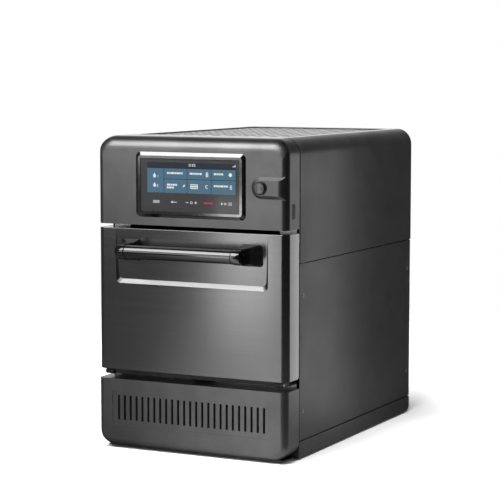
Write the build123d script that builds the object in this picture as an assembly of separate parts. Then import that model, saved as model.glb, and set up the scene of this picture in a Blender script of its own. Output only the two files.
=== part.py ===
from build123d import *
import math
import os

os.makedirs("parts", exist_ok=True)

# Driving sizes of the whole oven, in mm. X is its width, +Y runs to the back and +Z is up.
# The origin is on the floor, under the middle of the whole oven, handle and cable gland included.
overall_width = 400
overall_height = 599
body_depth = 549
shell_depth = 53
handle_reach = 58
gland_reach = 12

# Clearances, fits and cuts
sheet = 1.5
panel_gap = 0.4
seam_gap = 1.9
joint_gap = 2.8
shell_gap = 1.2
running_gap = 0.05
motion_gap = 0.5
screw_gap = 0.1
overrun = 2

# Heights of the front pieces, from the floor up
foot_height = 3
tray_height = 30.5
base_lift = 3
base_height = 129
sill_space = 17.4
fascia_gap = 7.5
fascia_height = 167
cover_drop = 231

# Corners and edges of the front shells
corner_radius = 32
base_corner_radius = 28
edge_radius = 12
brow_radius = 24
brow_spread = 0.3
crease_radius = 1.2
base_nose = 4

# Feet
foot_radius = 18
foot_inset_x = 42
foot_inset_y = 45

# Tray, side panels, cover and rear panel
tray_rear_radius = 14
tray_lip_radius = 1
plinth_setback = 14
panel_step = 1
tuck_height = 8
vent_margin = 2
vent_front_margin = 28
vent_overlap = 8
vent_sheet = 1.2
vent_hole_radius = 9.5
vent_pitch = 30
rear_slot_width = 5
rear_slot_length = 46
rear_slot_pitch = 12
rear_slot_count = 11

# Screws of the side and rear panels
screw_radius = 2
screw_head_radius = 4
screw_head = 1
screw_length = 6
screw_inset = 17
screw_low_z = 90
screw_drop = 61

# Cable gland in the rear panel
gland_radius = 12
gland_thread_radius = 10
gland_bore_radius = 5.5
gland_flange = 4
gland_nut = 5
gland_inside = 14
gland_inset = 70
gland_z = 95

# Front frame behind the door and the fascias
frame_sheet = 2
frame_flange = 28
frame_window_inset = 60
frame_window_low = 20
frame_window_high = 45

# Base fascia with its intake grille
tab_width = 14
tab_depth = 18
tab_height = 26
grille_inset = 31.5
grille_rise = 40
grille_drop = 21
grille_corner = 10
grille_depth = 1
slot_count = 25
slot_side_margin = 13.7
slot_width = 4.6
slot_margin = 10
slot_end_radius = 1.2
filter_thickness = 6
filter_border = 8
filter_frame_depth = 9

# Control fascia with the raised pad of the power button
display_inset = 84
display_margin = 22.25
display_sink = 6.7
bezel_height = 4
bezel_bevel = 6.5
bezel_corner = 10
bezel_border = 11.5
bezel_lip = 1.5
bezel_skirt = 3.5
bezel_depth = 9
glass_rebate = 2
glass_thickness = 3
lcd_side_inset = 19
lcd_inset = 29.25
lcd_thickness = 5
lcd_rise = 12.7
display_board_thickness = 1.6
display_board_margin = 6
pad_inset = 52
pad_half_height = 21.8
pad_bevel = 8
pad_height = 5.2

# Power button
button_radius = 10
button_ring_radius = 12.4
button_ring = 2.5
button_proud = 3.4
button_travel = 2.5
button_barrel_radius = 9.5
button_pocket = 3.2
button_stem_radius = 4
button_barrel = 24
button_nut = 5
button_nut_radius = 14

# Service port in the right flank of the control fascia
port_width = 14
port_height = 28
port_rise = 33.5
port_setback = 25.7
port_corner = 3
port_flange = 2
port_plug = 0.2

# Cavity and what lines it
side_space = 44
cavity_depth = 320
cavity_rise = 37.6
cavity_drop = 44.5
cavity_sheet = 1.2
cavity_flange = 12
intake_hole_radius = 3.2
intake_pitch = 9.5
intake_margin = 16
outlet_width = 14
outlet_margin = 28
outlet_inset = 34
insulation_thickness = 24
jet_drop = 12
jet_gap = 0.3
jet_count = 7
jet_hole_radius = 5.5
jet_margin = 36
stone_thickness = 8
stone_margin = 9
stone_corner = 14
rack_wire_radius = 2.4
rack_bar_radius = 1.5
rack_bar_count = 11
rack_height = 22
rack_margin = 12

# Rotating antenna under the stone, its well, waveguide and motor
well_radius = 76
well_lip = 8
antenna_radius = 60
antenna_thickness = 1.5
antenna_hub_radius = 9
antenna_shaft_radius = 4
antenna_slots = 3
antenna_slot_radius = 16
antenna_lift = 9
feed_radius = 15
guide_width = 90
guide_height = 42
guide_length = 210
guide_front = 60
antenna_motor_radius = 25
antenna_motor_height = 18

# Microwave power parts on the tray
magnetron_width = 80
magnetron_height = 58
magnetron_fins = 6
magnetron_plate = 3
magnetron_core_radius = 20
transformer_width = 92
transformer_depth = 82
transformer_height = 88
transformer_coil_overhang = 10
transformer_inset = 105
transformer_y = 215
capacitor_radius = 26
capacitor_flat = 34
capacitor_height = 92
capacitor_x = 20
capacitor_setback = 28
terminal_radius = 4
terminal_height = 8

# Hot air blower behind the cavity
blower_half_width = 112
blower_height = 176
blower_depth = 48
impeller_radius = 66
impeller_depth = 26
impeller_blades = 12
impeller_blade = 1.5
impeller_eye_radius = 36
impeller_plate = 1.5
impeller_setback = 8
blower_shaft_radius = 5
blower_hub_radius = 12
heater_radius = 82
heater_tube_radius = 3.5
heater_turns = 2
heater_pitch = 13
blower_standoff = 22
blower_motor_radius = 44
blower_motor_length = 74
blower_post_radius = 4
blower_post_spread = 34
blower_plate = 3

# Cooling fan behind the intake grille
fan_size = 120
fan_depth = 25
fan_ring_wall = 3
fan_hub_radius = 22
fan_blade_gap = 1
fan_blades = 7
fan_blade = 2
fan_blade_tilt = 32
fan_axle_radius = 3
fan_arm = 6
fan_boss = 6
fan_hub_gap = 0.5

# Supports and electronics
support_inset = 36
support_sheet = 2
support_foot = 18
shelf_rise = 24
shelf_inset = 6
shelf_front = 40
shelf_depth = 330
board_thickness = 1.6
board_standoff = 6
board_post_radius = 3
control_board_inset = 20
control_board_depth = 150
power_board_inset = 30
power_board_depth = 190
part_height = 22
relay_width = 28
filter_box_width = 60
filter_box_depth = 96
filter_box_height = 38
duct_width = 70
duct_depth = 34
duct_rise = 88

# Sill and hinges below the door
sill_height = 8
sill_gap = 1
sill_setback = 12
sill_inset = 28
hinge_setback = 10
hinge_open_gap = 1.5
hinge_pin_radius = 2
hinge_eye_radius = 4.9
hinge_inner_cheek = 4
hinge_arm = 4.5
hinge_outer_cheek = 7
hinge_plate = 3
hinge_arm_height = 72
hinge_neck = 8

# Door
door_rear_gap = 1.5
door_heel_radius = 7
door_pan_sheet = 1.5
door_plug = 8
door_plug_gap = 5
door_plug_radius = 8
gasket_width = 9
gasket_margin = 10
choke_width = 14
choke_depth = 20
latch_inset = 80
latch_drop = 14
latch_height = 9
latch_width = 4
latch_reach = 14
latch_lip = 3
latch_slot_gap = 3.6
switch_width = 12
switch_depth = 26
switch_height = 20

# Handle and the recess behind it
recess_inset = 39
recess_drop = 105
recess_depth = 3.2
recess_side_bevel = 5.3
recess_low_bevel = 8.3
recess_corner = 9
handle_radius = 13
handle_inset = 70
handle_drop = 40
ferrule_length = 19
ferrule_proud = 0.7
ferrule_groove = 0.8
ferrule_edge = 1
handle_wall = 2
bracket_width = 17
bracket_wrap = 5
bracket_rise = 2
bracket_foot_length = 15
bracket_foot_spread = 21
bracket_foot_inner_spread = 4
bracket_foot_rise = 7.7
bracket_corner = 7
handle_screw_radius = 3
handle_screw_head_radius = 5.5
handle_screw_head = 4
handle_screw_depth = 12
handle_screw_pitch = 21

# Places along the depth
overall_depth = handle_reach + shell_depth + body_depth + gland_reach
handle_front_y = -overall_depth / 2
door_front_y = handle_front_y + handle_reach
body_front_y = door_front_y + shell_depth
body_rear_y = body_front_y + body_depth
base_front_y = door_front_y - base_nose
shell_rear_y = body_front_y - shell_gap
frame_rear_y = body_front_y + frame_sheet

# Places across the width
half_width = overall_width / 2
panel_x = half_width - panel_step
panel_inner_x = panel_x - sheet
frame_half_width = panel_inner_x
cavity_half = half_width - side_space
cavity_width = 2 * cavity_half
display_half_width = half_width - display_inset
lcd_half_width = display_half_width - lcd_side_inset
grille_half_width = half_width - grille_inset
slot_pitch = 2 * (grille_half_width - slot_side_margin) / (slot_count - 1)
recess_half_width = half_width - recess_inset
handle_half_length = half_width - handle_inset
sill_half_length = half_width - sill_inset
shelf_half_width = cavity_half - shelf_inset
pad_x = half_width - pad_inset
latch_x = half_width - latch_inset
gland_x = half_width - gland_inset

# Heights above the floor
base_low_z = foot_height + base_lift
base_top_z = base_low_z + base_height
door_low_z = base_top_z + sill_space
fascia_low_z = overall_height - fascia_height
door_top_z = fascia_low_z - fascia_gap
recess_low_z = door_top_z - recess_drop
tray_top_z = foot_height + tray_height
tray_floor_z = foot_height + sheet
seam_z = overall_height - cover_drop
screw_high_z = seam_z - screw_drop
grille_low_z = base_low_z + grille_rise
grille_high_z = base_top_z - grille_drop
slot_height = grille_high_z - grille_low_z - 2 * slot_margin
display_z = fascia_low_z + fascia_height / 2 - display_sink
display_half_height = fascia_height / 2 - display_margin
lcd_half_height = display_half_height - lcd_inset
cavity_floor_z = door_low_z + cavity_rise
cavity_top_z = door_top_z - cavity_drop
cavity_height = cavity_top_z - cavity_floor_z
cavity_outer_low_z = cavity_floor_z - cavity_sheet
cavity_outer_top_z = cavity_top_z + cavity_sheet
insulation_low_z = cavity_outer_low_z - insulation_thickness
insulation_top_z = cavity_outer_top_z + insulation_thickness
fan_z = (tray_floor_z + insulation_low_z) / 2

# Places of the blower and its exhaust
blower_top_z = cavity_floor_z + cavity_height / 2 + blower_height / 2
duct_middle_z = blower_top_z + duct_rise - duct_depth / 2

# Places inside the cavity
cavity_rear_y = frame_rear_y + cavity_depth
cavity_back_y = cavity_rear_y + cavity_sheet
cavity_mid_y = frame_rear_y + cavity_depth / 2
cavity_mid_z = cavity_floor_z + cavity_height / 2


def block(x_low, x_high, y_low, y_high, z_low, z_high):
    """A box between two corners."""
    middle = Pos((x_low + x_high) / 2, (y_low + y_high) / 2, (z_low + z_high) / 2)
    return middle * Box(x_high - x_low, y_high - y_low, z_high - z_low)


def rod_x(radius, x_low, x_high, y, z):
    """A round bar along X."""
    return Pos((x_low + x_high) / 2, y, z) * Rot(0, 90, 0) * Cylinder(radius, x_high - x_low)


def rod_y(radius, y_low, y_high, x, z):
    """A round bar along Y."""
    return Pos(x, (y_low + y_high) / 2, z) * Rot(90, 0, 0) * Cylinder(radius, y_high - y_low)


def rod_z(radius, z_low, z_high, x, y):
    """A round bar along Z."""
    return Pos(x, y, (z_low + z_high) / 2) * Cylinder(radius, z_high - z_low)


def through_y(outline, y_low, y_high):
    """An XZ outline, drawn as seen from the front, run along the depth."""
    return extrude(Plane.XZ.offset(-y_high) * outline, y_high - y_low)


def through_x(outline, x_low, x_high):
    """A YZ outline run across the width."""
    return extrude(Plane.YZ.offset(x_low) * outline, x_high - x_low)


def other_side(shape):
    """The same piece on the left of the oven."""
    return mirror(shape, about=Plane.YZ)


def both_sides(shape):
    """A pair of pieces, right and left."""
    return Part() + [shape, other_side(shape)]


def front_outline(half, z_low, z_high, low_corner, high_corner):
    """The outline of a shell as seen from the front."""
    outline = Pos(0, (z_low + z_high) / 2) * Rectangle(2 * half, z_high - z_low)
    if high_corner > 0:
        outline = fillet(outline.vertices().group_by(Axis.Y)[-1], high_corner)
    if low_corner > 0:
        outline = fillet(outline.vertices().group_by(Axis.Y)[0], low_corner)
    return outline


def front_shell(half, z_low, z_high, y_front, y_back, low_corner, high_corner, edge, straight_z):
    """A block whose front edges are rounded, but for the one at the height straight_z."""
    body = through_y(front_outline(half, z_low, z_high, low_corner, high_corner), y_front, y_back)
    front = body.faces().sort_by(Axis.Y)[0]
    soft = [side for side in front.edges() if abs(side.center().Z - straight_z) > sheet]
    return fillet(soft, edge)


def brow_block(half, z_low, z_high, y_front, y_back, corner, edge, radius):
    """A block wider than its shell, which rounds the shell deeper over its top and its corners."""
    spread = radius - edge + brow_spread
    return front_shell(
        half + spread, z_low, z_high, y_front, y_back, 0, corner + spread, radius, z_low
    )


def save(node, shape):
    """Writes one piece, or one group of like pieces, under its node's name."""
    export_step(shape, "parts/" + node + ".step")


# Feet and base tray
def make_feet():
    x = half_width - foot_inset_x
    front = rod_z(foot_radius, 0, foot_height, x, body_front_y + foot_inset_y)
    rear = rod_z(foot_radius, 0, foot_height, x, body_rear_y - foot_inset_y)
    return both_sides(front) + both_sides(rear)


def make_base_tray():
    outer = block(-half_width, half_width, body_front_y, body_rear_y, foot_height, tray_top_z)
    heel = outer.edges().filter_by(Axis.X).group_by(Axis.Z)[0].sort_by(Axis.Y)[-1]
    outer = fillet(heel, tray_rear_radius)
    low_sides = outer.edges().filter_by(Axis.Y).group_by(Axis.Z)[0]
    outer = fillet(low_sides, sheet)
    lips = outer.edges().filter_by(Axis.Y).group_by(Axis.Z)[-1]
    outer = fillet(lips, tray_lip_radius)
    inner = block(
        sheet - half_width,
        half_width - sheet,
        body_front_y + sheet,
        body_rear_y - sheet,
        tray_floor_z,
        tray_top_z + overrun,
    )
    heel = inner.edges().filter_by(Axis.X).group_by(Axis.Z)[0].sort_by(Axis.Y)[-1]
    inner = fillet(heel, tray_rear_radius - sheet)
    return outer - inner + plinth()


def plinth():
    """The tray's floor sheet carried forward under the base fascia, with its edge turned up."""
    half = half_width - plinth_setback
    front_y = base_front_y + plinth_setback
    floor = block(-half, half, front_y, body_front_y + sheet, foot_height, tray_floor_z)
    edge = block(-half, half, front_y, front_y + sheet, foot_height, base_low_z - panel_gap)
    return floor + edge


# Side panels, wrap-over cover, vent panel and rear panel
def screw_places():
    """Heights of the panel screws along the front edge of a side panel."""
    return [screw_low_z, screw_high_z]


def side_screws(radius, head_radius, x_low, x_high, x_head):
    """Screws, or the holes for them, along the front and rear edges of the right panel."""
    made = Part()
    for y in (body_front_y + screw_inset, body_rear_y - screw_inset):
        for z in screw_places():
            made += rod_x(radius, x_low, x_high, y, z)
            if head_radius > 0:
                made += rod_x(head_radius, x_high, x_head, y, z)
    return made


def make_side_panel():
    plate = block(
        panel_inner_x,
        panel_x,
        body_front_y + joint_gap,
        body_rear_y,
        tray_top_z + seam_gap,
        seam_z - seam_gap,
    )
    holes = side_screws(
        screw_radius + screw_gap, 0, panel_inner_x - overrun, panel_x + overrun, panel_x
    )
    return plate - holes


def make_panel_screws():
    right = side_screws(
        screw_radius, screw_head_radius, panel_x - screw_length, panel_x, panel_x + screw_head
    )
    return both_sides(right)


def cover_tuck():
    """The folded lower edge of the cover, which closes the seam from behind the right panel."""
    inner_x = panel_inner_x - sheet
    rear_y = body_rear_y - sheet - panel_gap
    ledge = block(
        inner_x, half_width - sheet / 2, body_front_y + joint_gap, rear_y, seam_z, seam_z + sheet
    )
    strip_y = frame_rear_y + frame_flange + panel_gap
    strip = block(inner_x, panel_inner_x, strip_y, rear_y, seam_z - tuck_height, seam_z + sheet)
    return ledge + strip


def make_top_cover():
    outer = front_outline(half_width, seam_z, overall_height, 0, corner_radius)
    inner_low = seam_z - overrun
    inner = front_outline(
        half_width - sheet, inner_low, overall_height - sheet, 0, corner_radius - sheet
    )
    wrap = through_y(outer, body_front_y + joint_gap, body_rear_y)
    wrap -= through_y(inner, body_front_y - overrun, body_rear_y + overrun)
    wrap += both_sides(cover_tuck())
    half_x, front_y, rear_y = vent_opening()
    opening = block(
        -half_x, half_x, front_y, rear_y, overall_height - corner_radius, overall_height + overrun
    )
    corners = opening.edges().filter_by(Axis.Z)
    return wrap - fillet(corners, vent_overlap)


def vent_opening():
    """Half width, front and rear y of the cover's opening, clear of its round shoulders."""
    half_x = half_width - corner_radius - vent_overlap - vent_margin
    return half_x, body_front_y + vent_front_margin, body_rear_y - vent_front_margin


def make_top_vent_panel():
    reach_x, front_y, rear_y = vent_opening()
    length = rear_y - front_y
    middle_y = (front_y + rear_y) / 2
    row_gap = vent_pitch * math.sin(math.radians(60))
    rows = int((length - 2 * vent_hole_radius - vent_overlap) / row_gap) + 1
    first_y = middle_y - (rows - 1) * row_gap / 2
    rings = []
    for row in range(rows):
        stagger = vent_pitch / 2 * (row % 2)
        count = int((2 * reach_x - 2 * vent_hole_radius - vent_overlap - stagger) / vent_pitch) + 1
        first_x = -(count - 1) * vent_pitch / 2
        for column in range(count):
            centre = (first_x + column * vent_pitch, first_y + row * row_gap)
            rings.append(Wire.make_circle(vent_hole_radius, Plane(centre)))
    half_x = reach_x + vent_overlap
    half_y = length / 2 + vent_overlap
    outline = Pos(0, middle_y) * Rectangle(2 * half_x, 2 * half_y)
    holed = Face(outline.face().outer_wire(), rings)
    low = overall_height - sheet - vent_sheet
    return Pos(0, 0, low) * extrude(Sketch() + holed, vent_sheet)


def make_rear_panel():
    half = panel_inner_x - panel_gap
    top = overall_height - sheet - panel_gap
    corner = corner_radius - sheet - panel_gap
    outline = front_outline(half, tray_top_z, top, 0, corner)
    plate = through_y(outline, body_rear_y - sheet, body_rear_y)
    first_x = -(rear_slot_count - 1) * rear_slot_pitch / 2
    slots = Sketch()
    for column in range(rear_slot_count):
        for z in (duct_middle_z, cavity_mid_z, screw_low_z):
            place = Pos(first_x + column * rear_slot_pitch, z)
            slots += place * RectangleRounded(rear_slot_width, rear_slot_length, rear_slot_width / 3)
    plate -= through_y(slots, body_rear_y - sheet - overrun, body_rear_y + overrun)
    hole = gland_thread_radius + screw_gap
    return plate - rod_y(hole, body_rear_y - sheet - overrun, body_rear_y + overrun, gland_x, gland_z)


def make_cable_gland():
    inside_y = body_rear_y - sheet - gland_inside
    tip_y = body_rear_y + gland_reach
    thread = rod_y(gland_thread_radius, inside_y, body_rear_y, gland_x, gland_z)
    flats = Pos(gland_x, gland_z) * RegularPolygon(gland_radius, 6, major_radius=False)
    hexagon = through_y(flats, body_rear_y, body_rear_y + gland_flange)
    dome = rod_y(gland_thread_radius, body_rear_y + gland_flange, tip_y, gland_x, gland_z)
    dome = fillet(dome.faces().sort_by(Axis.Y)[-1].edges(), sheet)
    bore = rod_y(gland_bore_radius, inside_y - overrun, tip_y + overrun, gland_x, gland_z)
    nut_y = body_rear_y - sheet
    nut = through_y(flats, nut_y - gland_nut, nut_y)
    nut -= rod_y(gland_thread_radius, nut_y - gland_nut - overrun, nut_y + overrun, gland_x, gland_z)
    return Part() + [thread + hexagon + dome - bore, nut]


# Front frame: the bulkhead that carries the cavity, the fascias and the door
def make_front_frame():
    top = overall_height - sheet - panel_gap
    outline = front_outline(frame_half_width, tray_top_z, top, 0, corner_radius - sheet - panel_gap)
    outline -= Pos(0, cavity_mid_z) * RectangleRounded(cavity_width, cavity_height, crease_radius)
    outline -= Pos(0, fan_z) * Circle(fan_size / 2 - fan_ring_wall)
    window_low = fascia_low_z + frame_window_low
    window_high = overall_height - frame_window_high
    window = Rectangle(2 * (half_width - frame_window_inset), window_high - window_low)
    outline -= Pos(0, (window_low + window_high) / 2) * window
    latch_low, latch_high = latch_slot()
    for side in (-1, 1):
        slot = Rectangle(latch_width + latch_slot_gap, latch_high - latch_low)
        outline -= Pos(side * latch_x, (latch_low + latch_high) / 2) * slot
    button_hole = Circle(button_nut_radius + latch_slot_gap)
    outline -= Pos(pad_x, display_z) * button_hole
    plate = through_y(outline, body_front_y, frame_rear_y)
    flange = block(
        frame_half_width - sheet,
        frame_half_width,
        frame_rear_y,
        frame_rear_y + frame_flange,
        tray_top_z,
        seam_z - panel_gap,
    )
    holes = side_screws(
        screw_radius + screw_gap, 0, panel_x - screw_length - overrun, panel_x + overrun, panel_x
    )
    flange -= holes
    return plate + flange + other_side(flange)


def latch_slot():
    """The lowest and highest z of a latch slot, with room for the hook's rise as it swings out."""
    hook_high = door_top_z - latch_drop + latch_height
    return hook_high - latch_height - latch_slot_gap, hook_high + latch_slot_gap


# Base fascia, with the intake grille and the filter behind it
def fascia_tabs(z_middle):
    """The pair of folded tabs inside a fascia that reach back to the front frame."""
    high_x = half_width - sheet
    tab = block(
        high_x - tab_width,
        high_x,
        body_front_y - tab_depth,
        body_front_y,
        z_middle - tab_height / 2,
        z_middle + tab_height / 2,
    )
    tab -= block(
        high_x - tab_width - overrun,
        high_x - sheet,
        body_front_y - tab_depth - overrun,
        body_front_y - sheet,
        z_middle - tab_height,
        z_middle + tab_height,
    )
    return both_sides(tab)


def grille_middle():
    return (grille_low_z + grille_high_z) / 2


def make_base_fascia():
    outer = front_shell(
        half_width,
        base_low_z,
        base_top_z,
        base_front_y,
        shell_rear_y,
        base_corner_radius,
        0,
        edge_radius,
        base_top_z,
    )
    inner = front_shell(
        half_width - sheet,
        base_low_z + sheet,
        base_top_z - sheet,
        base_front_y + sheet + grille_depth,
        shell_rear_y + overrun,
        base_corner_radius - sheet,
        0,
        edge_radius - sheet,
        base_top_z - sheet,
    )
    shell = outer - inner
    height = grille_high_z - grille_low_z
    panel = Pos(0, grille_middle()) * RectangleRounded(2 * grille_half_width, height, grille_corner)
    shell -= through_y(panel, base_front_y - overrun, base_front_y + grille_depth)
    slots = Sketch()
    for column in range(slot_count):
        x = (column - (slot_count - 1) / 2) * slot_pitch
        slots += Pos(x, grille_middle()) * RectangleRounded(slot_width, slot_height, slot_end_radius)
    shell -= through_y(slots, base_front_y - overrun, base_front_y + filter_thickness)
    return shell + fascia_tabs(grille_middle())


def make_filter_frame():
    y = base_front_y + grille_depth + sheet
    height = grille_high_z - grille_low_z
    ring = RectangleRounded(2 * grille_half_width, height, grille_corner)
    ring -= Rectangle(2 * (grille_half_width - filter_border), height - 2 * filter_border)
    return through_y(Pos(0, grille_middle()) * ring, y, y + filter_frame_depth)


def make_air_filter():
    y = base_front_y + grille_depth + sheet
    height = grille_high_z - grille_low_z - 2 * filter_border
    mat = Pos(0, grille_middle()) * Rectangle(2 * (grille_half_width - filter_border), height)
    return through_y(mat, y, y + filter_thickness)


# Control fascia with its raised pad, display and power button
pad_front_y = door_front_y - pad_height
button_z = display_z


def pad_outline(radius):
    """The pad as seen from the front: round at its left end, running off past the right edge."""
    far_x = half_width + overrun
    arc = ThreePointArc(
        (pad_x, button_z - radius), (pad_x - radius, button_z), (pad_x, button_z + radius)
    )
    rest = Polyline(
        (pad_x, button_z + radius),
        (far_x, button_z + radius),
        (far_x, button_z - radius),
        (pad_x, button_z - radius),
    )
    return make_face(arc.edges() + rest.edges())


def make_control_fascia():
    outer = front_shell(
        half_width,
        fascia_low_z,
        overall_height,
        door_front_y,
        shell_rear_y,
        0,
        corner_radius,
        edge_radius,
        fascia_low_z,
    )
    outer &= brow_block(
        half_width,
        fascia_low_z,
        overall_height,
        door_front_y,
        shell_rear_y,
        corner_radius,
        edge_radius,
        brow_radius,
    )
    foot = Plane.XZ.offset(-door_front_y - crease_radius) * pad_outline(pad_half_height)
    face = Plane.XZ.offset(-pad_front_y) * pad_outline(pad_half_height - pad_bevel)
    pad = loft([foot, face], ruled=True)
    pad &= front_shell(
        half_width,
        fascia_low_z,
        overall_height,
        pad_front_y,
        shell_rear_y,
        0,
        corner_radius,
        edge_radius + pad_height,
        fascia_low_z,
    )
    inner = front_shell(
        half_width - sheet,
        fascia_low_z + sheet,
        overall_height - sheet,
        door_front_y + sheet,
        shell_rear_y + overrun,
        0,
        corner_radius - sheet,
        edge_radius - sheet,
        fascia_low_z + sheet,
    )
    inner &= brow_block(
        half_width - sheet,
        fascia_low_z + sheet,
        overall_height - sheet,
        door_front_y + sheet,
        shell_rear_y + overrun,
        corner_radius - sheet,
        edge_radius - sheet,
        brow_radius - sheet,
    )
    shell = outer + pad - inner
    hole_half_width = display_half_width - bezel_border + bezel_skirt + screw_gap
    hole_half_height = display_half_height - bezel_border + bezel_skirt + screw_gap
    window = Pos(0, display_z) * Rectangle(2 * hole_half_width, 2 * hole_half_height)
    shell -= through_y(window, door_front_y - overrun, door_front_y + sheet + overrun)
    hole_radius = button_barrel_radius + screw_gap
    shell -= rod_y(hole_radius, pad_front_y - overrun, door_front_y + edge_radius, pad_x, button_z)
    port = port_outline(0)
    shell -= through_x(port, half_width - sheet - overrun, half_width + overrun)
    return shell + fascia_tabs(display_z)


def port_outline(grow):
    """The service port as seen from the right, grown on every side."""
    y = shell_rear_y - port_setback
    z = fascia_low_z + port_rise
    return Pos(y, z) * RectangleRounded(port_width + 2 * grow, port_height + 2 * grow, port_corner)


def make_port_cover():
    inner_x = half_width - sheet
    flange = through_x(port_outline(port_flange), inner_x - sheet, inner_x)
    plug = through_x(port_outline(-screw_gap), inner_x, half_width - port_plug)
    return flange + plug


def display_outline(inset, corner):
    """A rounded rectangle about the display's middle, inset from the bezel's outer edge."""
    width = 2 * (display_half_width - inset)
    height = 2 * (display_half_height - inset)
    return Pos(0, display_z) * RectangleRounded(width, height, corner)


def make_display_bezel():
    front_y = door_front_y - bezel_height
    foot = Plane.XZ.offset(-door_front_y) * display_outline(0, bezel_corner)
    face = Plane.XZ.offset(-front_y) * display_outline(bezel_bevel, bezel_corner - bezel_bevel / 2)
    ring = loft([foot, face], ruled=True)
    skirt_inset = bezel_border - bezel_skirt
    skirt = through_y(display_outline(skirt_inset, crease_radius), front_y, front_y + bezel_depth)
    opening = display_outline(bezel_border, crease_radius)
    rebate = display_outline(bezel_border - glass_rebate, crease_radius)
    ring += skirt
    ring -= through_y(opening, front_y - overrun, front_y + bezel_depth + overrun)
    return ring - through_y(rebate, front_y + bezel_lip, front_y + bezel_depth + overrun)


def make_display_glass():
    front_y = door_front_y - bezel_height + bezel_lip
    pane = display_outline(bezel_border - glass_rebate + screw_gap, crease_radius)
    return through_y(pane, front_y, front_y + glass_thickness)


def lcd_middle():
    return display_z + lcd_rise


def make_lcd_panel():
    front_y = door_front_y - bezel_height + bezel_lip + glass_thickness
    panel = Pos(0, lcd_middle()) * Rectangle(2 * lcd_half_width, 2 * lcd_half_height)
    return through_y(panel, front_y, front_y + lcd_thickness)


def make_display_board():
    lcd_rear_y = door_front_y - bezel_height + bezel_lip + glass_thickness + lcd_thickness
    board = Pos(0, lcd_middle()) * Rectangle(
        2 * (lcd_half_width - display_board_margin), 2 * (lcd_half_height - display_board_margin)
    )
    plate = through_y(board, lcd_rear_y, lcd_rear_y + display_board_thickness)
    chip = Pos(0, lcd_middle()) * Rectangle(lcd_half_height, lcd_half_height)
    rear_y = lcd_rear_y + display_board_thickness
    return plate + through_y(chip, rear_y, rear_y + 2 * display_board_thickness)


def make_button_barrel():
    front_y = pad_front_y - button_ring
    ring = rod_y(button_ring_radius, front_y, pad_front_y, pad_x, button_z)
    ring = fillet(ring.faces().sort_by(Axis.Y)[0].edges(), crease_radius / 2)
    rear_y = pad_front_y + button_barrel
    barrel = rod_y(button_barrel_radius, pad_front_y, rear_y, pad_x, button_z)
    body = ring + barrel
    pocket_y = front_y + button_pocket
    body -= rod_y(button_radius + running_gap, front_y - overrun, pad_front_y, pad_x, button_z)
    cup_radius = button_barrel_radius - sheet
    body -= rod_y(cup_radius, front_y - overrun, pocket_y + button_travel, pad_x, button_z)
    stem_hole = button_stem_radius + running_gap
    body -= rod_y(stem_hole, front_y, rear_y + overrun, pad_x, button_z)
    nut_y = door_front_y + sheet
    flats = Pos(pad_x, button_z) * RegularPolygon(button_nut_radius, 6, major_radius=True)
    nut = through_y(flats, nut_y, nut_y + button_nut)
    nut -= rod_y(button_barrel_radius, nut_y - overrun, nut_y + button_nut + overrun, pad_x, button_z)
    return Part() + [body, nut]


def make_button_cap():
    ring_front_y = pad_front_y - button_ring
    front_y = ring_front_y - button_proud
    rim_y = pad_front_y - button_travel - running_gap
    cap = rod_y(button_radius, front_y, rim_y, pad_x, button_z)
    cap = fillet(cap.faces().sort_by(Axis.Y)[0].edges(), crease_radius)
    core_radius = button_barrel_radius - sheet - running_gap
    core = rod_y(core_radius, rim_y, ring_front_y + button_pocket - running_gap, pad_x, button_z)
    stem = rod_y(button_stem_radius, rim_y, pad_front_y + button_barrel, pad_x, button_z)
    return cap + core + stem


# Cavity, its lining, jet plate, stone and rack
def make_cavity():
    outer = block(
        -cavity_half - cavity_sheet,
        cavity_half + cavity_sheet,
        frame_rear_y,
        cavity_back_y,
        cavity_outer_low_z,
        cavity_outer_top_z,
    )
    flange_half = cavity_half + cavity_flange
    flange = block(
        -flange_half,
        flange_half,
        frame_rear_y,
        frame_rear_y + cavity_sheet,
        cavity_floor_z - cavity_flange,
        cavity_top_z + cavity_flange,
    )
    inner = block(
        -cavity_half,
        cavity_half,
        frame_rear_y - overrun,
        cavity_rear_y,
        cavity_floor_z,
        cavity_top_z,
    )
    box = outer + flange - inner
    box -= rod_z(
        well_radius, cavity_outer_low_z - overrun, cavity_floor_z + overrun, 0, cavity_mid_y
    )
    holes = Sketch() + Pos(0, cavity_mid_z) * Circle(intake_hole_radius)
    intake_reach = min(impeller_radius, cavity_height / 2) - intake_margin
    intake_rings = int(intake_reach / intake_pitch)
    for ring in range(1, intake_rings + 1):
        for step in range(6 * ring):
            angle = 360 * step / (6 * ring)
            place = Pos(0, cavity_mid_z) * Rot(0, 0, angle) * Pos(ring * intake_pitch, 0)
            holes += place * Circle(intake_hole_radius)
    outlet_height = min(blower_height, cavity_height) - 2 * outlet_margin
    for side in (-1, 1):
        outlet = RectangleRounded(outlet_width, outlet_height, outlet_width / 3)
        x = side * (blower_half_width - outlet_inset / 2)
        holes += Pos(x, cavity_mid_z) * outlet
    return box - through_y(holes, cavity_rear_y - overrun, cavity_back_y + overrun)


def make_insulation():
    inner_x = cavity_half + cavity_sheet
    outer_x = inner_x + insulation_thickness
    front_y = frame_rear_y + cavity_sheet
    outer = block(-outer_x, outer_x, front_y, cavity_back_y, insulation_low_z, insulation_top_z)
    inner = block(
        -inner_x,
        inner_x,
        front_y - overrun,
        cavity_back_y + overrun,
        cavity_outer_low_z,
        cavity_outer_top_z,
    )
    well = rod_z(
        well_radius + well_lip + screw_gap,
        insulation_low_z - overrun,
        cavity_outer_low_z + overrun,
        0,
        cavity_mid_y,
    )
    return outer - inner - well


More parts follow.
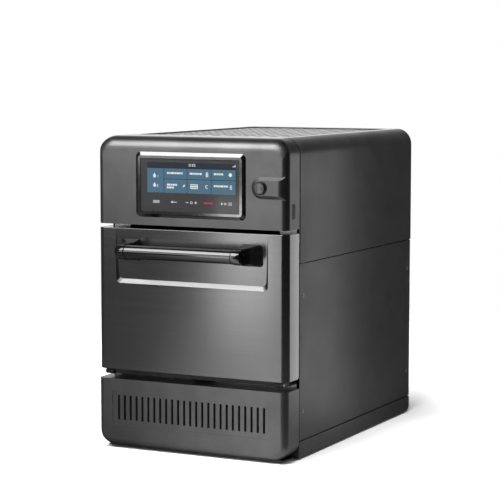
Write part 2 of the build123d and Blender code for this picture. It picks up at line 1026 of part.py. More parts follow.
def make_upper_jet_plate():
    half = cavity_half - jet_gap
    front_y = frame_rear_y + door_plug + jet_drop
    rear_y = cavity_rear_y - jet_gap
    low = cavity_top_z - jet_drop
    tray = block(-half, half, front_y, rear_y, low, cavity_top_z)
    tray -= block(
        cavity_sheet - half,
        half - cavity_sheet,
        front_y + cavity_sheet,
        rear_y + overrun,
        low + cavity_sheet,
        cavity_top_z + overrun,
    )
    pitch_x = 2 * (half - jet_margin) / (jet_count - 1)
    pitch_y = (rear_y - front_y - 2 * jet_margin) / (jet_count - 1)
    holes = Sketch()
    for column in range(jet_count):
        for row in range(jet_count):
            x = (column - (jet_count - 1) / 2) * pitch_x
            y = front_y + jet_margin + row * pitch_y
            holes += Pos(x, y) * Circle(jet_hole_radius)
    return tray - Pos(0, 0, low - overrun) * extrude(holes, cavity_sheet + 2 * overrun)


def make_stone_plate():
    front_y = frame_rear_y + door_plug + stone_margin
    rear_y = cavity_rear_y - stone_margin
    width = cavity_width - 2 * stone_margin
    outline = Pos(0, (front_y + rear_y) / 2) * RectangleRounded(width, rear_y - front_y, stone_corner)
    stone = Pos(0, 0, cavity_floor_z) * extrude(outline, stone_thickness)
    return fillet(stone.faces().sort_by(Axis.Z)[-1].edges(), crease_radius)


def make_rack():
    stone_top = cavity_floor_z + stone_thickness
    top = stone_top + rack_height
    half = cavity_half - stone_margin - rack_margin
    front_y = frame_rear_y + door_plug + stone_margin + rack_margin
    rear_y = cavity_rear_y - stone_margin - rack_margin
    z = top - rack_wire_radius
    rack = rod_x(rack_wire_radius, -half, half, front_y, z)
    rack += rod_x(rack_wire_radius, -half, half, rear_y, z)
    for side in (-1, 1):
        rack += rod_y(rack_wire_radius, front_y, rear_y, side * half, z)
        for y in (front_y, rear_y):
            rack += rod_z(rack_wire_radius, stone_top, z, side * half, y)
            rack += Pos(side * half, y, z) * Sphere(rack_wire_radius)
    for number in range(rack_bar_count):
        x = (2 * (number + 1) / (rack_bar_count + 1) - 1) * half
        rack += rod_y(rack_bar_radius, front_y, rear_y, x, z)
    return rack


# Rotating antenna under the stone, with its well, waveguide and motor
well_low_z = insulation_low_z
guide_top_z = well_low_z
guide_low_z = guide_top_z - guide_height


def make_antenna_well():
    top = cavity_outer_low_z
    cup = rod_z(well_radius + cavity_sheet, well_low_z, top, 0, cavity_mid_y)
    cup -= rod_z(well_radius, well_low_z + cavity_sheet, top + overrun, 0, cavity_mid_y)
    lip = rod_z(well_radius + well_lip, top - cavity_sheet, top, 0, cavity_mid_y)
    lip -= rod_z(well_radius, top - cavity_sheet - overrun, top + overrun, 0, cavity_mid_y)
    feed = rod_z(feed_radius, well_low_z - overrun, top, 0, cavity_mid_y)
    return cup + lip - feed


def make_antenna():
    low = well_low_z + antenna_lift
    disc = Circle(antenna_radius)
    for number in range(antenna_slots):
        place = Rot(0, 0, 360 * number / antenna_slots) * Pos((antenna_radius + antenna_hub_radius) / 2, 0)
        disc -= place * Circle(antenna_slot_radius)
    plate = Pos(0, cavity_mid_y, low) * extrude(disc, antenna_thickness)
    hub = rod_z(antenna_hub_radius, low, low + 2 * antenna_thickness, 0, cavity_mid_y)
    shaft_low = guide_low_z - antenna_motor_height / 2
    shaft = rod_z(antenna_shaft_radius, shaft_low, low, 0, cavity_mid_y)
    return plate + hub + shaft


def make_waveguide():
    front_y = cavity_mid_y - guide_front
    half = guide_width / 2
    tube = block(-half, half, front_y, front_y + guide_length, guide_low_z, guide_top_z)
    tube -= block(
        cavity_sheet - half,
        half - cavity_sheet,
        front_y + cavity_sheet,
        front_y + guide_length - cavity_sheet,
        guide_low_z + cavity_sheet,
        guide_top_z - cavity_sheet,
    )
    feed = rod_z(feed_radius, guide_top_z - feed_radius, guide_top_z + overrun, 0, cavity_mid_y)
    shaft_hole = rod_z(
        antenna_shaft_radius + running_gap, guide_low_z - overrun, guide_top_z, 0, cavity_mid_y
    )
    probe = rod_z(
        magnetron_core_radius / 2 + screw_gap,
        guide_low_z - overrun,
        guide_low_z + feed_radius,
        0,
        magnetron_y(),
    )
    return tube - feed - shaft_hole - probe


def make_antenna_motor():
    low = guide_low_z - antenna_motor_height
    can = rod_z(antenna_motor_radius, low, guide_low_z, 0, cavity_mid_y)
    can = fillet(can.faces().sort_by(Axis.Z)[0].edges(), crease_radius)
    bore = rod_z(
        antenna_shaft_radius + running_gap,
        guide_low_z - antenna_motor_height / 2 - motion_gap,
        guide_low_z + overrun,
        0,
        cavity_mid_y,
    )
    return can - bore


def magnetron_y():
    """The magnetron's probe stands a half width short of the waveguide's rear end."""
    return cavity_mid_y - guide_front + guide_length - magnetron_width / 2


def make_magnetron():
    y = magnetron_y()
    half = magnetron_width / 2
    low = guide_low_z - magnetron_height
    tube = rod_z(magnetron_core_radius, low, guide_low_z, 0, y)
    tube += rod_z(magnetron_core_radius / 2, guide_low_z, guide_low_z + magnetron_core_radius / 2, 0, y)
    for number in range(magnetron_fins):
        z = low + (number + 1 / 2) * (magnetron_height - magnetron_plate) / magnetron_fins
        tube += block(-half, half, y - half, y + half, z, z + magnetron_plate / 3)
    for z in (low, guide_low_z - magnetron_plate):
        tube += block(-half, half, y - half, y + half, z, z + magnetron_plate)
    return tube


def make_hv_transformer():
    low = tray_floor_z
    half_x = transformer_width / 2
    half_y = transformer_depth / 2
    core_half = half_y - transformer_coil_overhang
    x, y = transformer_inset - half_width, transformer_y
    top = low + transformer_height
    core = block(x - half_x, x + half_x, y - core_half, y + core_half, low, top)
    leg = half_x / 3
    coil_low = low + transformer_coil_overhang
    coil_high = top - transformer_coil_overhang
    coils = block(x - half_x + leg, x + half_x - leg, y - half_y, y + half_y, coil_low, coil_high)
    coils = fillet(coils.edges().filter_by(Axis.Z), transformer_coil_overhang / 2)
    return core + coils


def make_hv_capacitor():
    x, y = capacitor_x, cavity_back_y + capacitor_setback
    body = SlotCenterToCenter(capacitor_flat, 2 * capacitor_radius)
    low = tray_floor_z
    can = Pos(x, y, low) * extrude(body, capacitor_height)
    top = low + capacitor_height
    for side in (-1, 1):
        can += rod_z(terminal_radius, top, top + terminal_height, x + side * capacitor_flat / 2, y)
    return can


# Hot air blower behind the cavity
blower_rear_y = cavity_back_y + blower_depth
blower_plate_y = blower_rear_y + blower_standoff
impeller_front_y = cavity_back_y + impeller_setback
impeller_rear_y = impeller_front_y + impeller_depth


def blower_posts(radius, y_low, y_high):
    """Four posts between the blower housing and its motor plate, or the holes for them."""
    posts = Part()
    for x in (-blower_post_spread, blower_post_spread):
        for side in (-1, 1):
            posts += rod_y(radius, y_low, y_high, x, cavity_mid_z + side * blower_post_spread)
    return posts


def make_blower_housing():
    half = blower_half_width
    low = cavity_mid_z - blower_height / 2
    high = blower_top_z
    box = block(-half, half, cavity_back_y, blower_rear_y, low, high)
    box -= block(
        cavity_sheet - half,
        half - cavity_sheet,
        cavity_back_y - overrun,
        blower_rear_y - cavity_sheet,
        low + cavity_sheet,
        high - cavity_sheet,
    )
    box += blower_posts(blower_post_radius, blower_rear_y, blower_plate_y)
    shaft_hole = blower_shaft_radius + motion_gap
    box -= rod_y(shaft_hole, cavity_back_y, blower_rear_y + overrun, 0, cavity_mid_z)
    half_duct = duct_width / 2
    return box - block(
        cavity_sheet - half_duct,
        half_duct - cavity_sheet,
        duct_front_y + cavity_sheet,
        duct_front_y + duct_depth - cavity_sheet,
        high - cavity_sheet - overrun,
        high + overrun,
    )


def make_heater_coil():
    y_first = cavity_back_y + heater_pitch
    coil = Part()
    for turn in range(heater_turns):
        ring = Torus(heater_radius, heater_tube_radius)
        coil += Pos(0, y_first + turn * heater_pitch, cavity_mid_z) * Rot(90, 0, 0) * ring
    leg_low_y = y_first
    leg_high_y = blower_rear_y - cavity_sheet
    coil += rod_y(heater_tube_radius, leg_low_y, leg_high_y, heater_radius, cavity_mid_z)
    coil += rod_y(heater_tube_radius, leg_low_y, leg_high_y, -heater_radius, cavity_mid_z)
    return coil


def make_impeller():
    plate = rod_y(impeller_radius, impeller_rear_y - impeller_plate, impeller_rear_y, 0, cavity_mid_z)
    ring = rod_y(
        impeller_radius, impeller_front_y, impeller_front_y + impeller_plate, 0, cavity_mid_z
    )
    ring -= rod_y(
        impeller_eye_radius,
        impeller_front_y - overrun,
        impeller_front_y + impeller_plate + overrun,
        0,
        cavity_mid_z,
    )
    wheel = plate + ring
    span = impeller_radius - impeller_eye_radius
    for number in range(impeller_blades):
        blade = Box(span, impeller_depth, impeller_blade)
        out = Pos(impeller_eye_radius + span / 2, 0, 0) * Rot(0, fan_blade_tilt, 0) * blade
        turn = Rot(0, 360 * number / impeller_blades, 0)
        wheel += Pos(0, (impeller_front_y + impeller_rear_y) / 2, cavity_mid_z) * turn * out
    round_off = rod_y(impeller_radius, impeller_front_y, impeller_rear_y, 0, cavity_mid_z)
    wheel &= round_off
    hub = rod_y(
        blower_hub_radius, impeller_front_y + impeller_plate, impeller_rear_y, 0, cavity_mid_z
    )
    shaft_end_y = blower_plate_y + blower_plate + blower_motor_length / 2
    shaft = rod_y(blower_shaft_radius, impeller_rear_y - overrun, shaft_end_y, 0, cavity_mid_z)
    return wheel + hub + shaft


def make_blower_motor():
    front_y = blower_plate_y + blower_plate
    rear_y = front_y + blower_motor_length
    plate = block(
        -blower_motor_radius,
        blower_motor_radius,
        blower_plate_y,
        front_y,
        cavity_mid_z - blower_motor_radius,
        cavity_mid_z + blower_motor_radius,
    )
    can = rod_y(blower_motor_radius - sheet, front_y, rear_y, 0, cavity_mid_z)
    can = fillet(can.faces().sort_by(Axis.Y)[-1].edges(), crease_radius)
    bore = rod_y(
        blower_shaft_radius + running_gap,
        blower_plate_y - overrun,
        front_y + blower_motor_length / 2 + motion_gap,
        0,
        cavity_mid_z,
    )
    return plate + can - bore


# Cooling fan behind the intake grille
fan_front_y = frame_rear_y
fan_rear_y = fan_front_y + fan_depth


def make_cooling_fan_frame():
    half = fan_size / 2
    outline = Pos(0, fan_z) * RectangleRounded(fan_size, fan_size, fan_arm)
    frame = through_y(outline, fan_front_y, fan_rear_y)
    frame -= rod_y(half - fan_ring_wall, fan_front_y - overrun, fan_rear_y + overrun, 0, fan_z)
    arm_y = fan_rear_y - fan_boss
    arms = block(-half + fan_ring_wall / 2, half - fan_ring_wall / 2, arm_y, fan_rear_y,
                 fan_z - fan_arm / 2, fan_z + fan_arm / 2)
    arms += block(-fan_arm / 2, fan_arm / 2, arm_y, fan_rear_y,
                  fan_z - half + fan_ring_wall / 2, fan_z + half - fan_ring_wall / 2)
    arms += rod_y(fan_hub_radius, arm_y, fan_rear_y, 0, fan_z)
    arms -= rod_y(fan_axle_radius + running_gap, arm_y - overrun, fan_rear_y + overrun, 0, fan_z)
    return frame + arms


def make_cooling_fan_rotor():
    rear_y = fan_rear_y - fan_boss - fan_hub_gap
    front_y = fan_front_y + fan_blade_gap
    middle_y = (front_y + rear_y) / 2
    rotor = rod_y(fan_hub_radius, front_y, rear_y, 0, fan_z)
    rotor = fillet(rotor.faces().sort_by(Axis.Y)[0].edges(), fan_arm / 3)
    reach = fan_size / 2 - fan_ring_wall - fan_blade_gap
    chord = (rear_y - front_y) / math.cos(math.radians(fan_blade_tilt))
    blades = Part()
    for number in range(fan_blades):
        blade = Box(reach - fan_hub_radius / 2, chord, fan_blade)
        tilted = Pos((reach + fan_hub_radius / 2) / 2, 0, 0) * Rot(fan_blade_tilt, 0, 0) * blade
        blades += Pos(0, middle_y, fan_z) * Rot(0, 360 * number / fan_blades, 0) * tilted
    blades &= rod_y(reach, front_y, rear_y, 0, fan_z)
    axle = rod_y(fan_axle_radius, rear_y - overrun, fan_rear_y, 0, fan_z)
    return rotor + blades + axle


# Supports under the cavity, shelf and electronics above it
def make_cavity_supports():
    x = cavity_half - support_inset
    front_y = frame_rear_y
    wall = block(x - support_sheet, x, front_y, cavity_back_y, tray_floor_z, insulation_low_z)
    foot = block(
        x, x + support_foot, front_y, cavity_back_y, tray_floor_z, tray_floor_z + support_sheet
    )
    head = block(
        x, x + support_foot, front_y, cavity_back_y, insulation_low_z - support_sheet, insulation_low_z
    )
    return both_sides(wall + foot + head)


shelf_low_z = insulation_top_z + shelf_rise
shelf_top_z = shelf_low_z + sheet
shelf_front_y = frame_rear_y + shelf_front


def make_electronics_shelf():
    rear_y = shelf_front_y + shelf_depth
    half = shelf_half_width
    plate = block(-half, half, shelf_front_y, rear_y, shelf_low_z, shelf_top_z)
    notch_half = duct_width / 2 + panel_gap
    plate -= block(
        -notch_half,
        notch_half,
        cavity_back_y,
        body_rear_y,
        shelf_low_z - overrun,
        shelf_top_z + overrun,
    )
    leg = block(half - sheet, half, shelf_front_y, cavity_back_y, insulation_top_z, shelf_low_z)
    return plate + leg + other_side(leg)


def circuit_board(x, y, width, depth):
    """A board on four posts, with a row of relays and a block of other parts on it."""
    low = shelf_top_z + board_standoff
    top = low + board_thickness
    half_x = width / 2
    half_y = depth / 2
    board = block(x - half_x, x + half_x, y - half_y, y + half_y, low, top)
    inset = 2 * board_post_radius
    for side_x in (-1, 1):
        for side_y in (-1, 1):
            post_x = x + side_x * (half_x - inset)
            post_y = y + side_y * (half_y - inset)
            board += rod_z(board_post_radius, shelf_top_z, low, post_x, post_y)
    relay = relay_width / 2
    for step in (-1, 0, 1):
        relay_y = y + step * depth / 4
        relay_x = x - half_x / 2
        low_y = relay_y - relay / 2
        board += block(
            relay_x - relay, relay_x + relay, low_y, low_y + relay, top, top + part_height
        )
        board += rod_z(relay / 2, top, top + part_height, x + half_x / 2, relay_y)
    return board


def make_control_board():
    return circuit_board(
        -shelf_half_width / 2,
        (shelf_front_y + cavity_back_y) / 2,
        shelf_half_width - control_board_inset,
        control_board_depth,
    )


def make_power_board():
    return circuit_board(
        shelf_half_width / 2,
        (shelf_front_y + cavity_back_y) / 2,
        shelf_half_width - power_board_inset,
        power_board_depth,
    )


def make_emi_filter():
    x_low = half_width - filter_box_width - support_inset
    y_high = body_rear_y - sheet - gland_inside - filter_box_depth / 2
    box = block(
        x_low,
        x_low + filter_box_width,
        y_high - filter_box_depth,
        y_high,
        tray_floor_z,
        tray_floor_z + filter_box_height,
    )
    box = fillet(box.edges().filter_by(Axis.Z), crease_radius)
    top = tray_floor_z + filter_box_height
    for step in (-1, 0, 1):
        x = x_low + filter_box_width / 2 + step * filter_box_width / 4
        box += rod_z(terminal_radius, top, top + terminal_height, x, y_high - filter_box_depth / 4)
    return box


duct_front_y = cavity_back_y + impeller_setback / 2


def make_exhaust_duct():
    half = duct_width / 2
    low = blower_top_z
    high = blower_top_z + duct_rise
    rear_y = body_rear_y - sheet
    riser = block(-half, half, duct_front_y, duct_front_y + duct_depth, low, high)
    run = block(-half, half, duct_front_y, rear_y, high - duct_depth, high)
    bore_half = half - cavity_sheet
    riser_bore = block(
        -bore_half,
        bore_half,
        duct_front_y + cavity_sheet,
        duct_front_y + duct_depth - cavity_sheet,
        low - overrun,
        high - cavity_sheet,
    )
    run_bore = block(
        -bore_half,
        bore_half,
        duct_front_y + cavity_sheet,
        rear_y + overrun,
        high - duct_depth + cavity_sheet,
        high - cavity_sheet,
    )
    return riser + run - riser_bore - run_bore


# Sill and hinges under the door
hinge_z = base_top_z + hinge_open_gap + hinge_setback
hinge_y = door_front_y + hinge_setback
sill_top_z = door_low_z - sill_gap


def make_door_sill():
    front_y = door_front_y + sill_setback
    lip = block(
        -sill_half_length,
        sill_half_length,
        front_y,
        front_y + sheet,
        sill_top_z - sill_height,
        sill_top_z,
    )
    top = block(
        -sill_half_length, sill_half_length, front_y, body_front_y, sill_top_z - sheet, sill_top_z
    )
    profile = lip + top
    nose = profile.edges().filter_by(Axis.X).group_by(Axis.Z)[-1].sort_by(Axis.Y)[0]
    return fillet(nose, crease_radius / 2)


def hinge_places():
    """The X places of the hinge from the sill out: inner cheek, arm and outer cheek."""
    inner_low = sill_half_length + motion_gap
    arm_low = inner_low + hinge_inner_cheek + motion_gap
    outer_low = arm_low + hinge_arm + motion_gap
    return inner_low, arm_low, outer_low, outer_low + hinge_outer_cheek


def make_hinge_brackets():
    inner_low, arm_low, outer_low, outer_high = hinge_places()
    cheeks = Part()
    for x_low, x_high in ((inner_low, arm_low - motion_gap), (outer_low, outer_high)):
        cheek = rod_x(hinge_eye_radius, x_low, x_high, hinge_y, hinge_z)
        cheek += block(
            x_low, x_high, hinge_y, body_front_y, hinge_z - hinge_eye_radius, hinge_z + hinge_eye_radius
        )
        cheeks += cheek
    back = block(
        inner_low,
        outer_high,
        body_front_y - hinge_plate,
        body_front_y,
        hinge_z - hinge_eye_radius,
        hinge_z + hinge_eye_radius,
    )
    bore = rod_x(hinge_pin_radius, inner_low - overrun, outer_high + overrun, hinge_y, hinge_z)
    return both_sides(cheeks + back - bore)


def make_hinge_pins():
    inner_low, _, _, outer_high = hinge_places()
    return both_sides(rod_x(hinge_pin_radius, inner_low, outer_high, hinge_y, hinge_z))


# Door: skin, inner pan, choke, gasket, hinge arms and latch hooks
door_rear_y = body_front_y - door_rear_gap
pan_front_y = door_rear_y - door_pan_sheet


def door_block(half, z_low, z_high, y_front, y_back, edge, heel):
    """A slab with round upright front edges and a rounded heel at its low rear edge."""
    slab = block(-half, half, y_front, y_back, z_low, z_high)
    upright = slab.edges().filter_by(Axis.Z).group_by(Axis.Y)[0]
    slab = fillet(upright, edge)
    if heel > 0:
        low_rear = slab.edges().filter_by(Axis.X).group_by(Axis.Z)[0].sort_by(Axis.Y)[-1]
        slab = fillet(low_rear, heel)
    return slab


def recess_outline(half, z_low):
    """The pocket behind the handle, open at the door's top, as seen from the front."""
    return front_outline(half, z_low, door_top_z + shell_depth, recess_corner, 0)


def recess_floor_y(z):
    """The pocket's floor leans back as it goes down, from nothing at the door's top edge."""
    return door_front_y + recess_depth * (door_top_z - z) / (recess_drop - recess_low_bevel)


def beside_recess_floor(y_far, grow):
    """What lies between the pocket's floor and the plane at y_far."""
    low = recess_low_z - overrun
    high = door_top_z + overrun
    corners = Polyline(
        (recess_floor_y(low) + grow, low),
        (y_far, low),
        (y_far, high),
        (recess_floor_y(high) + grow, high),
        close=True,
    )
    return through_x(make_face(corners), -half_width, half_width)


def handle_recess(grow):
    """The pocket with its sloping sides, grown by the sheet for its inner side."""
    mouth = recess_outline(recess_half_width + grow, recess_low_z - grow)
    floor_half = recess_half_width - recess_side_bevel + grow
    floor = recess_outline(floor_half, recess_low_z + recess_low_bevel - grow)
    front = Plane.XZ.offset(-door_front_y) * mouth
    back = Plane.XZ.offset(-door_front_y - recess_depth - grow) * floor
    pocket = loft([front, back], ruled=True)
    return pocket & beside_recess_floor(door_front_y - overrun, grow)


def make_door_skin():
    outer = door_block(
        half_width, door_low_z, door_top_z, door_front_y, door_rear_y, edge_radius, door_heel_radius
    )
    front = outer.faces().sort_by(Axis.Y)[0]
    outer = fillet(front.edges().filter_by(Axis.X), crease_radius)
    inner = door_block(
        half_width - sheet,
        door_low_z + sheet,
        door_top_z - sheet,
        door_front_y + sheet,
        door_rear_y + overrun,
        edge_radius - sheet,
        0,
    )
    hollow = inner - handle_recess(sheet)
    mouth = through_y(
        recess_outline(recess_half_width, recess_low_z),
        door_front_y - overrun,
        door_front_y,
    )
    skin = outer - hollow - handle_recess(0) - mouth
    _, arm_low, outer_low, _ = hinge_places()
    slot = block(
        arm_low - motion_gap,
        outer_low,
        hinge_y - hinge_eye_radius - motion_gap,
        hinge_y + hinge_eye_radius + motion_gap,
        door_low_z - overrun,
        door_low_z + sheet + overrun,
    )
    skin -= slot + other_side(slot)
    for x, z in handle_screw_places():
        y = recess_floor_y(z)
        hole = rod_y(handle_screw_radius + screw_gap, y - overrun, y + sheet + overrun, x, z)
        skin -= hole + other_side(hole)
    return skin


def plug_sizes():
    """Half width, low and high z of the part of the door that enters the cavity."""
    return (
        cavity_half - door_plug_gap,
        cavity_floor_z + door_plug_gap,
        cavity_top_z - door_plug_gap,
    )


def make_door_inner_pan():
    half = half_width - sheet - panel_gap
    plate = block(
        -half,
        half,
        pan_front_y,
        door_rear_y,
        door_low_z + door_heel_radius + sheet,
        door_top_z - sheet - panel_gap,
    )
    plug_half, plug_low, plug_high = plug_sizes()
    plug_outline = front_outline(plug_half, plug_low, plug_high, door_plug_radius, door_plug_radius)
    plug = through_y(plug_outline, door_rear_y, door_rear_y + door_plug)
    plug = fillet(plug.faces().sort_by(Axis.Y)[-1].edges(), crease_radius)
    hollow_outline = front_outline(
        plug_half - sheet, plug_low + sheet, plug_high - sheet, door_plug_radius, door_plug_radius
    )
    hollow = through_y(hollow_outline, pan_front_y - overrun, door_rear_y + door_plug - sheet)
    return plate + plug - hollow


def make_door_choke():
    plug_half, plug_low, plug_high = plug_sizes()
    margin = gasket_margin + gasket_width
    outer = front_outline(plug_half + margin, plug_low - margin / 2, plug_high + margin, 0, 0)
    inner = front_outline(
        plug_half + margin - choke_width,
        plug_low - margin / 2 + choke_width,
        plug_high + margin - choke_width,
        0,
        0,
    )
    ring = through_y(outer - inner, pan_front_y - choke_depth, pan_front_y)
    groove_outer = front_outline(
        plug_half + margin - cavity_sheet,
        plug_low - margin / 2 + cavity_sheet,
        plug_high + margin - cavity_sheet,
        0,
        0,
    )
    groove_inner = front_outline(
        plug_half + margin - choke_width + cavity_sheet,
        plug_low - margin / 2 + choke_width - cavity_sheet,
        plug_high + margin - choke_width + cavity_sheet,
        0,
        0,
    )
    groove_y = pan_front_y - choke_depth
    return ring - through_y(groove_outer - groove_inner, groove_y + cavity_sheet, pan_front_y + overrun)


def make_door_gasket():
    plug_half, plug_low, plug_high = plug_sizes()
    inner = front_outline(
        plug_half + gasket_margin,
        plug_low - gasket_margin,
        plug_high + gasket_margin,
        door_plug_radius,
        door_plug_radius,
    )
    wide = gasket_margin + gasket_width
    outer = front_outline(
        plug_half + wide, plug_low - wide, plug_high + wide, door_plug_radius, door_plug_radius
    )
    return through_y(outer - inner, door_rear_y, body_front_y - panel_gap)


def make_hinge_arms():
    _, arm_low, outer_low, _ = hinge_places()
    high = outer_low - motion_gap
    eye = rod_x(hinge_eye_radius, arm_low, high, hinge_y, hinge_z)
    neck_top = door_low_z + hinge_neck
    neck = block(
        arm_low, high, hinge_y - hinge_eye_radius, hinge_y + hinge_eye_radius, hinge_z, neck_top
    )
    blade = block(
        arm_low,
        high,
        hinge_y - hinge_eye_radius,
        pan_front_y,
        neck_top - sheet,
        neck_top + hinge_arm_height,
    )
    bore = rod_x(hinge_pin_radius + running_gap, arm_low - overrun, high + overrun, hinge_y, hinge_z)
    return both_sides(eye + neck + blade - bore)


def make_latch_hooks():
    low = door_top_z - latch_drop
    high = low + latch_height
    half = latch_width / 2
    rear_y = door_rear_y + latch_reach
    bar = block(latch_x - half, latch_x + half, door_rear_y, rear_y, low + latch_lip, high)
    lip = block(latch_x - half, latch_x + half, rear_y - latch_width, rear_y, low, low + latch_lip)
    return both_sides(bar + lip)


def make_interlock_switches():
    low = door_top_z - latch_drop
    x_low = latch_x + latch_width / 2 + latch_slot_gap
    body = block(
        x_low,
        x_low + switch_width,
        frame_rear_y,
        frame_rear_y + switch_depth,
        low,
        low + switch_height,
    )
    button = rod_x(
        latch_width / 2, x_low - sheet, x_low, frame_rear_y + switch_depth / 2, low + latch_height
    )
    return both_sides(body + button)


# Handle: tube, ferrules, brackets and their screws
handle_y = handle_front_y + handle_radius + ferrule_proud
handle_z = door_top_z - handle_drop
bracket_low_x = handle_half_length - bracket_width
foot_front_y = recess_floor_y(handle_z) - bracket_foot_length


def make_handle_bar():
    end = handle_half_length - ferrule_length
    tube = rod_x(handle_radius, -end, end, handle_y, handle_z)
    return tube - rod_x(handle_radius - handle_wall, -end - overrun, end + overrun, handle_y, handle_z)


def make_handle_ferrules():
    inner_x = handle_half_length - ferrule_length
    radius = handle_radius + ferrule_proud
    cap = rod_x(radius, inner_x + ferrule_groove, handle_half_length, handle_y, handle_z)
    cap = fillet(cap.faces().sort_by(Axis.X)[-1].edges(), ferrule_edge)
    neck = rod_x(handle_radius - ferrule_groove, inner_x, inner_x + ferrule_groove, handle_y, handle_z)
    return both_sides(cap + neck)


def bracket_outline(x_low, x_high, half, corner):
    """A bracket's arm or foot as seen from the front, round at its outer end."""
    outline = Pos((x_low + x_high) / 2, handle_z) * Rectangle(x_high - x_low, 2 * half)
    return fillet(outline.vertices().group_by(Axis.X)[-1], corner)


def make_handle_brackets():
    low_x = bracket_low_x
    high_x = handle_half_length
    foot_half = handle_radius + bracket_foot_rise
    far_y = recess_floor_y(handle_z - foot_half)
    slim = bracket_outline(low_x, high_x, handle_radius + bracket_rise, crease_radius)
    wide = bracket_outline(
        low_x - bracket_foot_inner_spread, high_x + bracket_foot_spread, foot_half, bracket_corner
    )
    near = Plane.XZ.offset(-foot_front_y) * slim
    far = Plane.XZ.offset(-far_y) * wide
    bracket = through_y(slim, handle_y + bracket_wrap, foot_front_y) + loft([near, far], ruled=True)
    seat = handle_radius + ferrule_proud
    bracket -= rod_x(seat, low_x - overrun, high_x + overrun, handle_y, handle_z)
    bracket -= beside_recess_floor(body_front_y, 0)
    for x, z in handle_screw_places():
        hole_y = recess_floor_y(z) - handle_screw_depth
        bracket -= rod_y(handle_screw_radius, hole_y, far_y + overrun, x, z)
    return both_sides(bracket)


def handle_screw_places():
    """Two screws, one above the other, through the recess into each bracket."""
    x = (bracket_low_x + handle_half_length) / 2
    return [(x, handle_z - handle_screw_pitch / 2), (x, handle_z + handle_screw_pitch / 2)]


def make_handle_screws():
    screws = Part()
    for x, z in handle_screw_places():
        head_y = recess_floor_y(z - handle_screw_head_radius) + sheet
        screw = rod_y(handle_screw_radius, recess_floor_y(z) - handle_screw_depth, head_y, x, z)
        screw += rod_y(handle_screw_head_radius, head_y, head_y + handle_screw_head, x, z)
        screws += [screw, other_side(screw)]
    return screws


# Body and base
save("feet", make_feet())
save("base_tray", make_base_tray())
save("side_panel_right", make_side_panel())
save("side_panel_left", other_side(make_side_panel()))
save("panel_screws", make_panel_screws())
save("top_cover", make_top_cover())
save("top_vent_panel", make_top_vent_panel())
save("rear_panel", make_rear_panel())
save("cable_gland", make_cable_gland())
save("front_frame", make_front_frame())
save("base_fascia", make_base_fascia())
save("filter_frame", make_filter_frame())
save("air_filter", make_air_filter())

# Controls
save("control_fascia", make_control_fascia())
save("port_cover", make_port_cover())
save("display_bezel", make_display_bezel())
save("display_glass", make_display_glass())
save("lcd_panel", make_lcd_panel())
save("display_board", make_display_board())
save("button_barrel", make_button_barrel())
save("button_cap", make_button_cap())

# Cavity and air
save("cavity", make_cavity())
save("insulation", make_insulation())
save("upper_jet_plate", make_upper_jet_plate())
save("stone_plate", make_stone_plate())
save("rack", make_rack())
save("blower_housing", make_blower_housing())
save("heater_coil", make_heater_coil())
save("impeller", make_impeller())
save("blower_motor", make_blower_motor())
save("exhaust_duct", make_exhaust_duct())
save("cooling_fan_frame", make_cooling_fan_frame())
save("cooling_fan_rotor", make_cooling_fan_rotor())

# Microwave parts
save("antenna_well", make_antenna_well())
save("antenna", make_antenna())
save("antenna_motor", make_antenna_motor())
save("waveguide", make_waveguide())
save("magnetron", make_magnetron())
save("hv_transformer", make_hv_transformer())
save("hv_capacitor", make_hv_capacitor())

# Supports and electronics
save("cavity_supports", make_cavity_supports())
save("electronics_shelf", make_electronics_shelf())
save("control_board", make_control_board())
save("power_board", make_power_board())
save("emi_filter", make_emi_filter())
save("interlock_switches", make_interlock_switches())

# Door
save("door_sill", make_door_sill())
save("hinge_brackets", make_hinge_brackets())
save("hinge_pins", make_hinge_pins())
save("door_skin", make_door_skin())
save("door_inner_pan", make_door_inner_pan())
save("door_choke", make_door_choke())
save("door_gasket", make_door_gasket())
save("hinge_arms", make_hinge_arms())
save("latch_hooks", make_latch_hooks())
save("handle_bar", make_handle_bar())
save("handle_ferrules", make_handle_ferrules())
save("handle_brackets", make_handle_brackets())
save("handle_screws", make_handle_screws())
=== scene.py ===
import math

import bmesh
import bpy
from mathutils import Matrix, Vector


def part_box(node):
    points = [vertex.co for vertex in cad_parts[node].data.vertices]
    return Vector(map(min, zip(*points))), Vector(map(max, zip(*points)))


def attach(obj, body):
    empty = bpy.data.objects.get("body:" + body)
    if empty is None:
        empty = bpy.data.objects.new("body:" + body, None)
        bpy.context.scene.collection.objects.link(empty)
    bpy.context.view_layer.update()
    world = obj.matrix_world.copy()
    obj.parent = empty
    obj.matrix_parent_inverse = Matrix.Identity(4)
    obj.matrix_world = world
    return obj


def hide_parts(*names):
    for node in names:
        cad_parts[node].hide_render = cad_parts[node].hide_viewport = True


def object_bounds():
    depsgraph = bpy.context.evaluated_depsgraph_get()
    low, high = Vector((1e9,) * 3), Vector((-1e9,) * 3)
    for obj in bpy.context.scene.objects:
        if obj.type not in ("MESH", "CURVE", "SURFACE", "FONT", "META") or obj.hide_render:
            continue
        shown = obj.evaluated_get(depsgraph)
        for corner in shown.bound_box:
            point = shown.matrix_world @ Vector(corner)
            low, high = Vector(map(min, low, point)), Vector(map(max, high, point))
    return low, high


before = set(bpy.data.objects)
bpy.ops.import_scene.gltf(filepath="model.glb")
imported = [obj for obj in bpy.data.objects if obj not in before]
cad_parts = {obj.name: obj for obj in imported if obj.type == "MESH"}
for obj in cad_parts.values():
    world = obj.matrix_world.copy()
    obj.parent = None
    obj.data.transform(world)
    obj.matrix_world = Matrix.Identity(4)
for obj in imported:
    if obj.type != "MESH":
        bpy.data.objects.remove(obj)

cad_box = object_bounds()

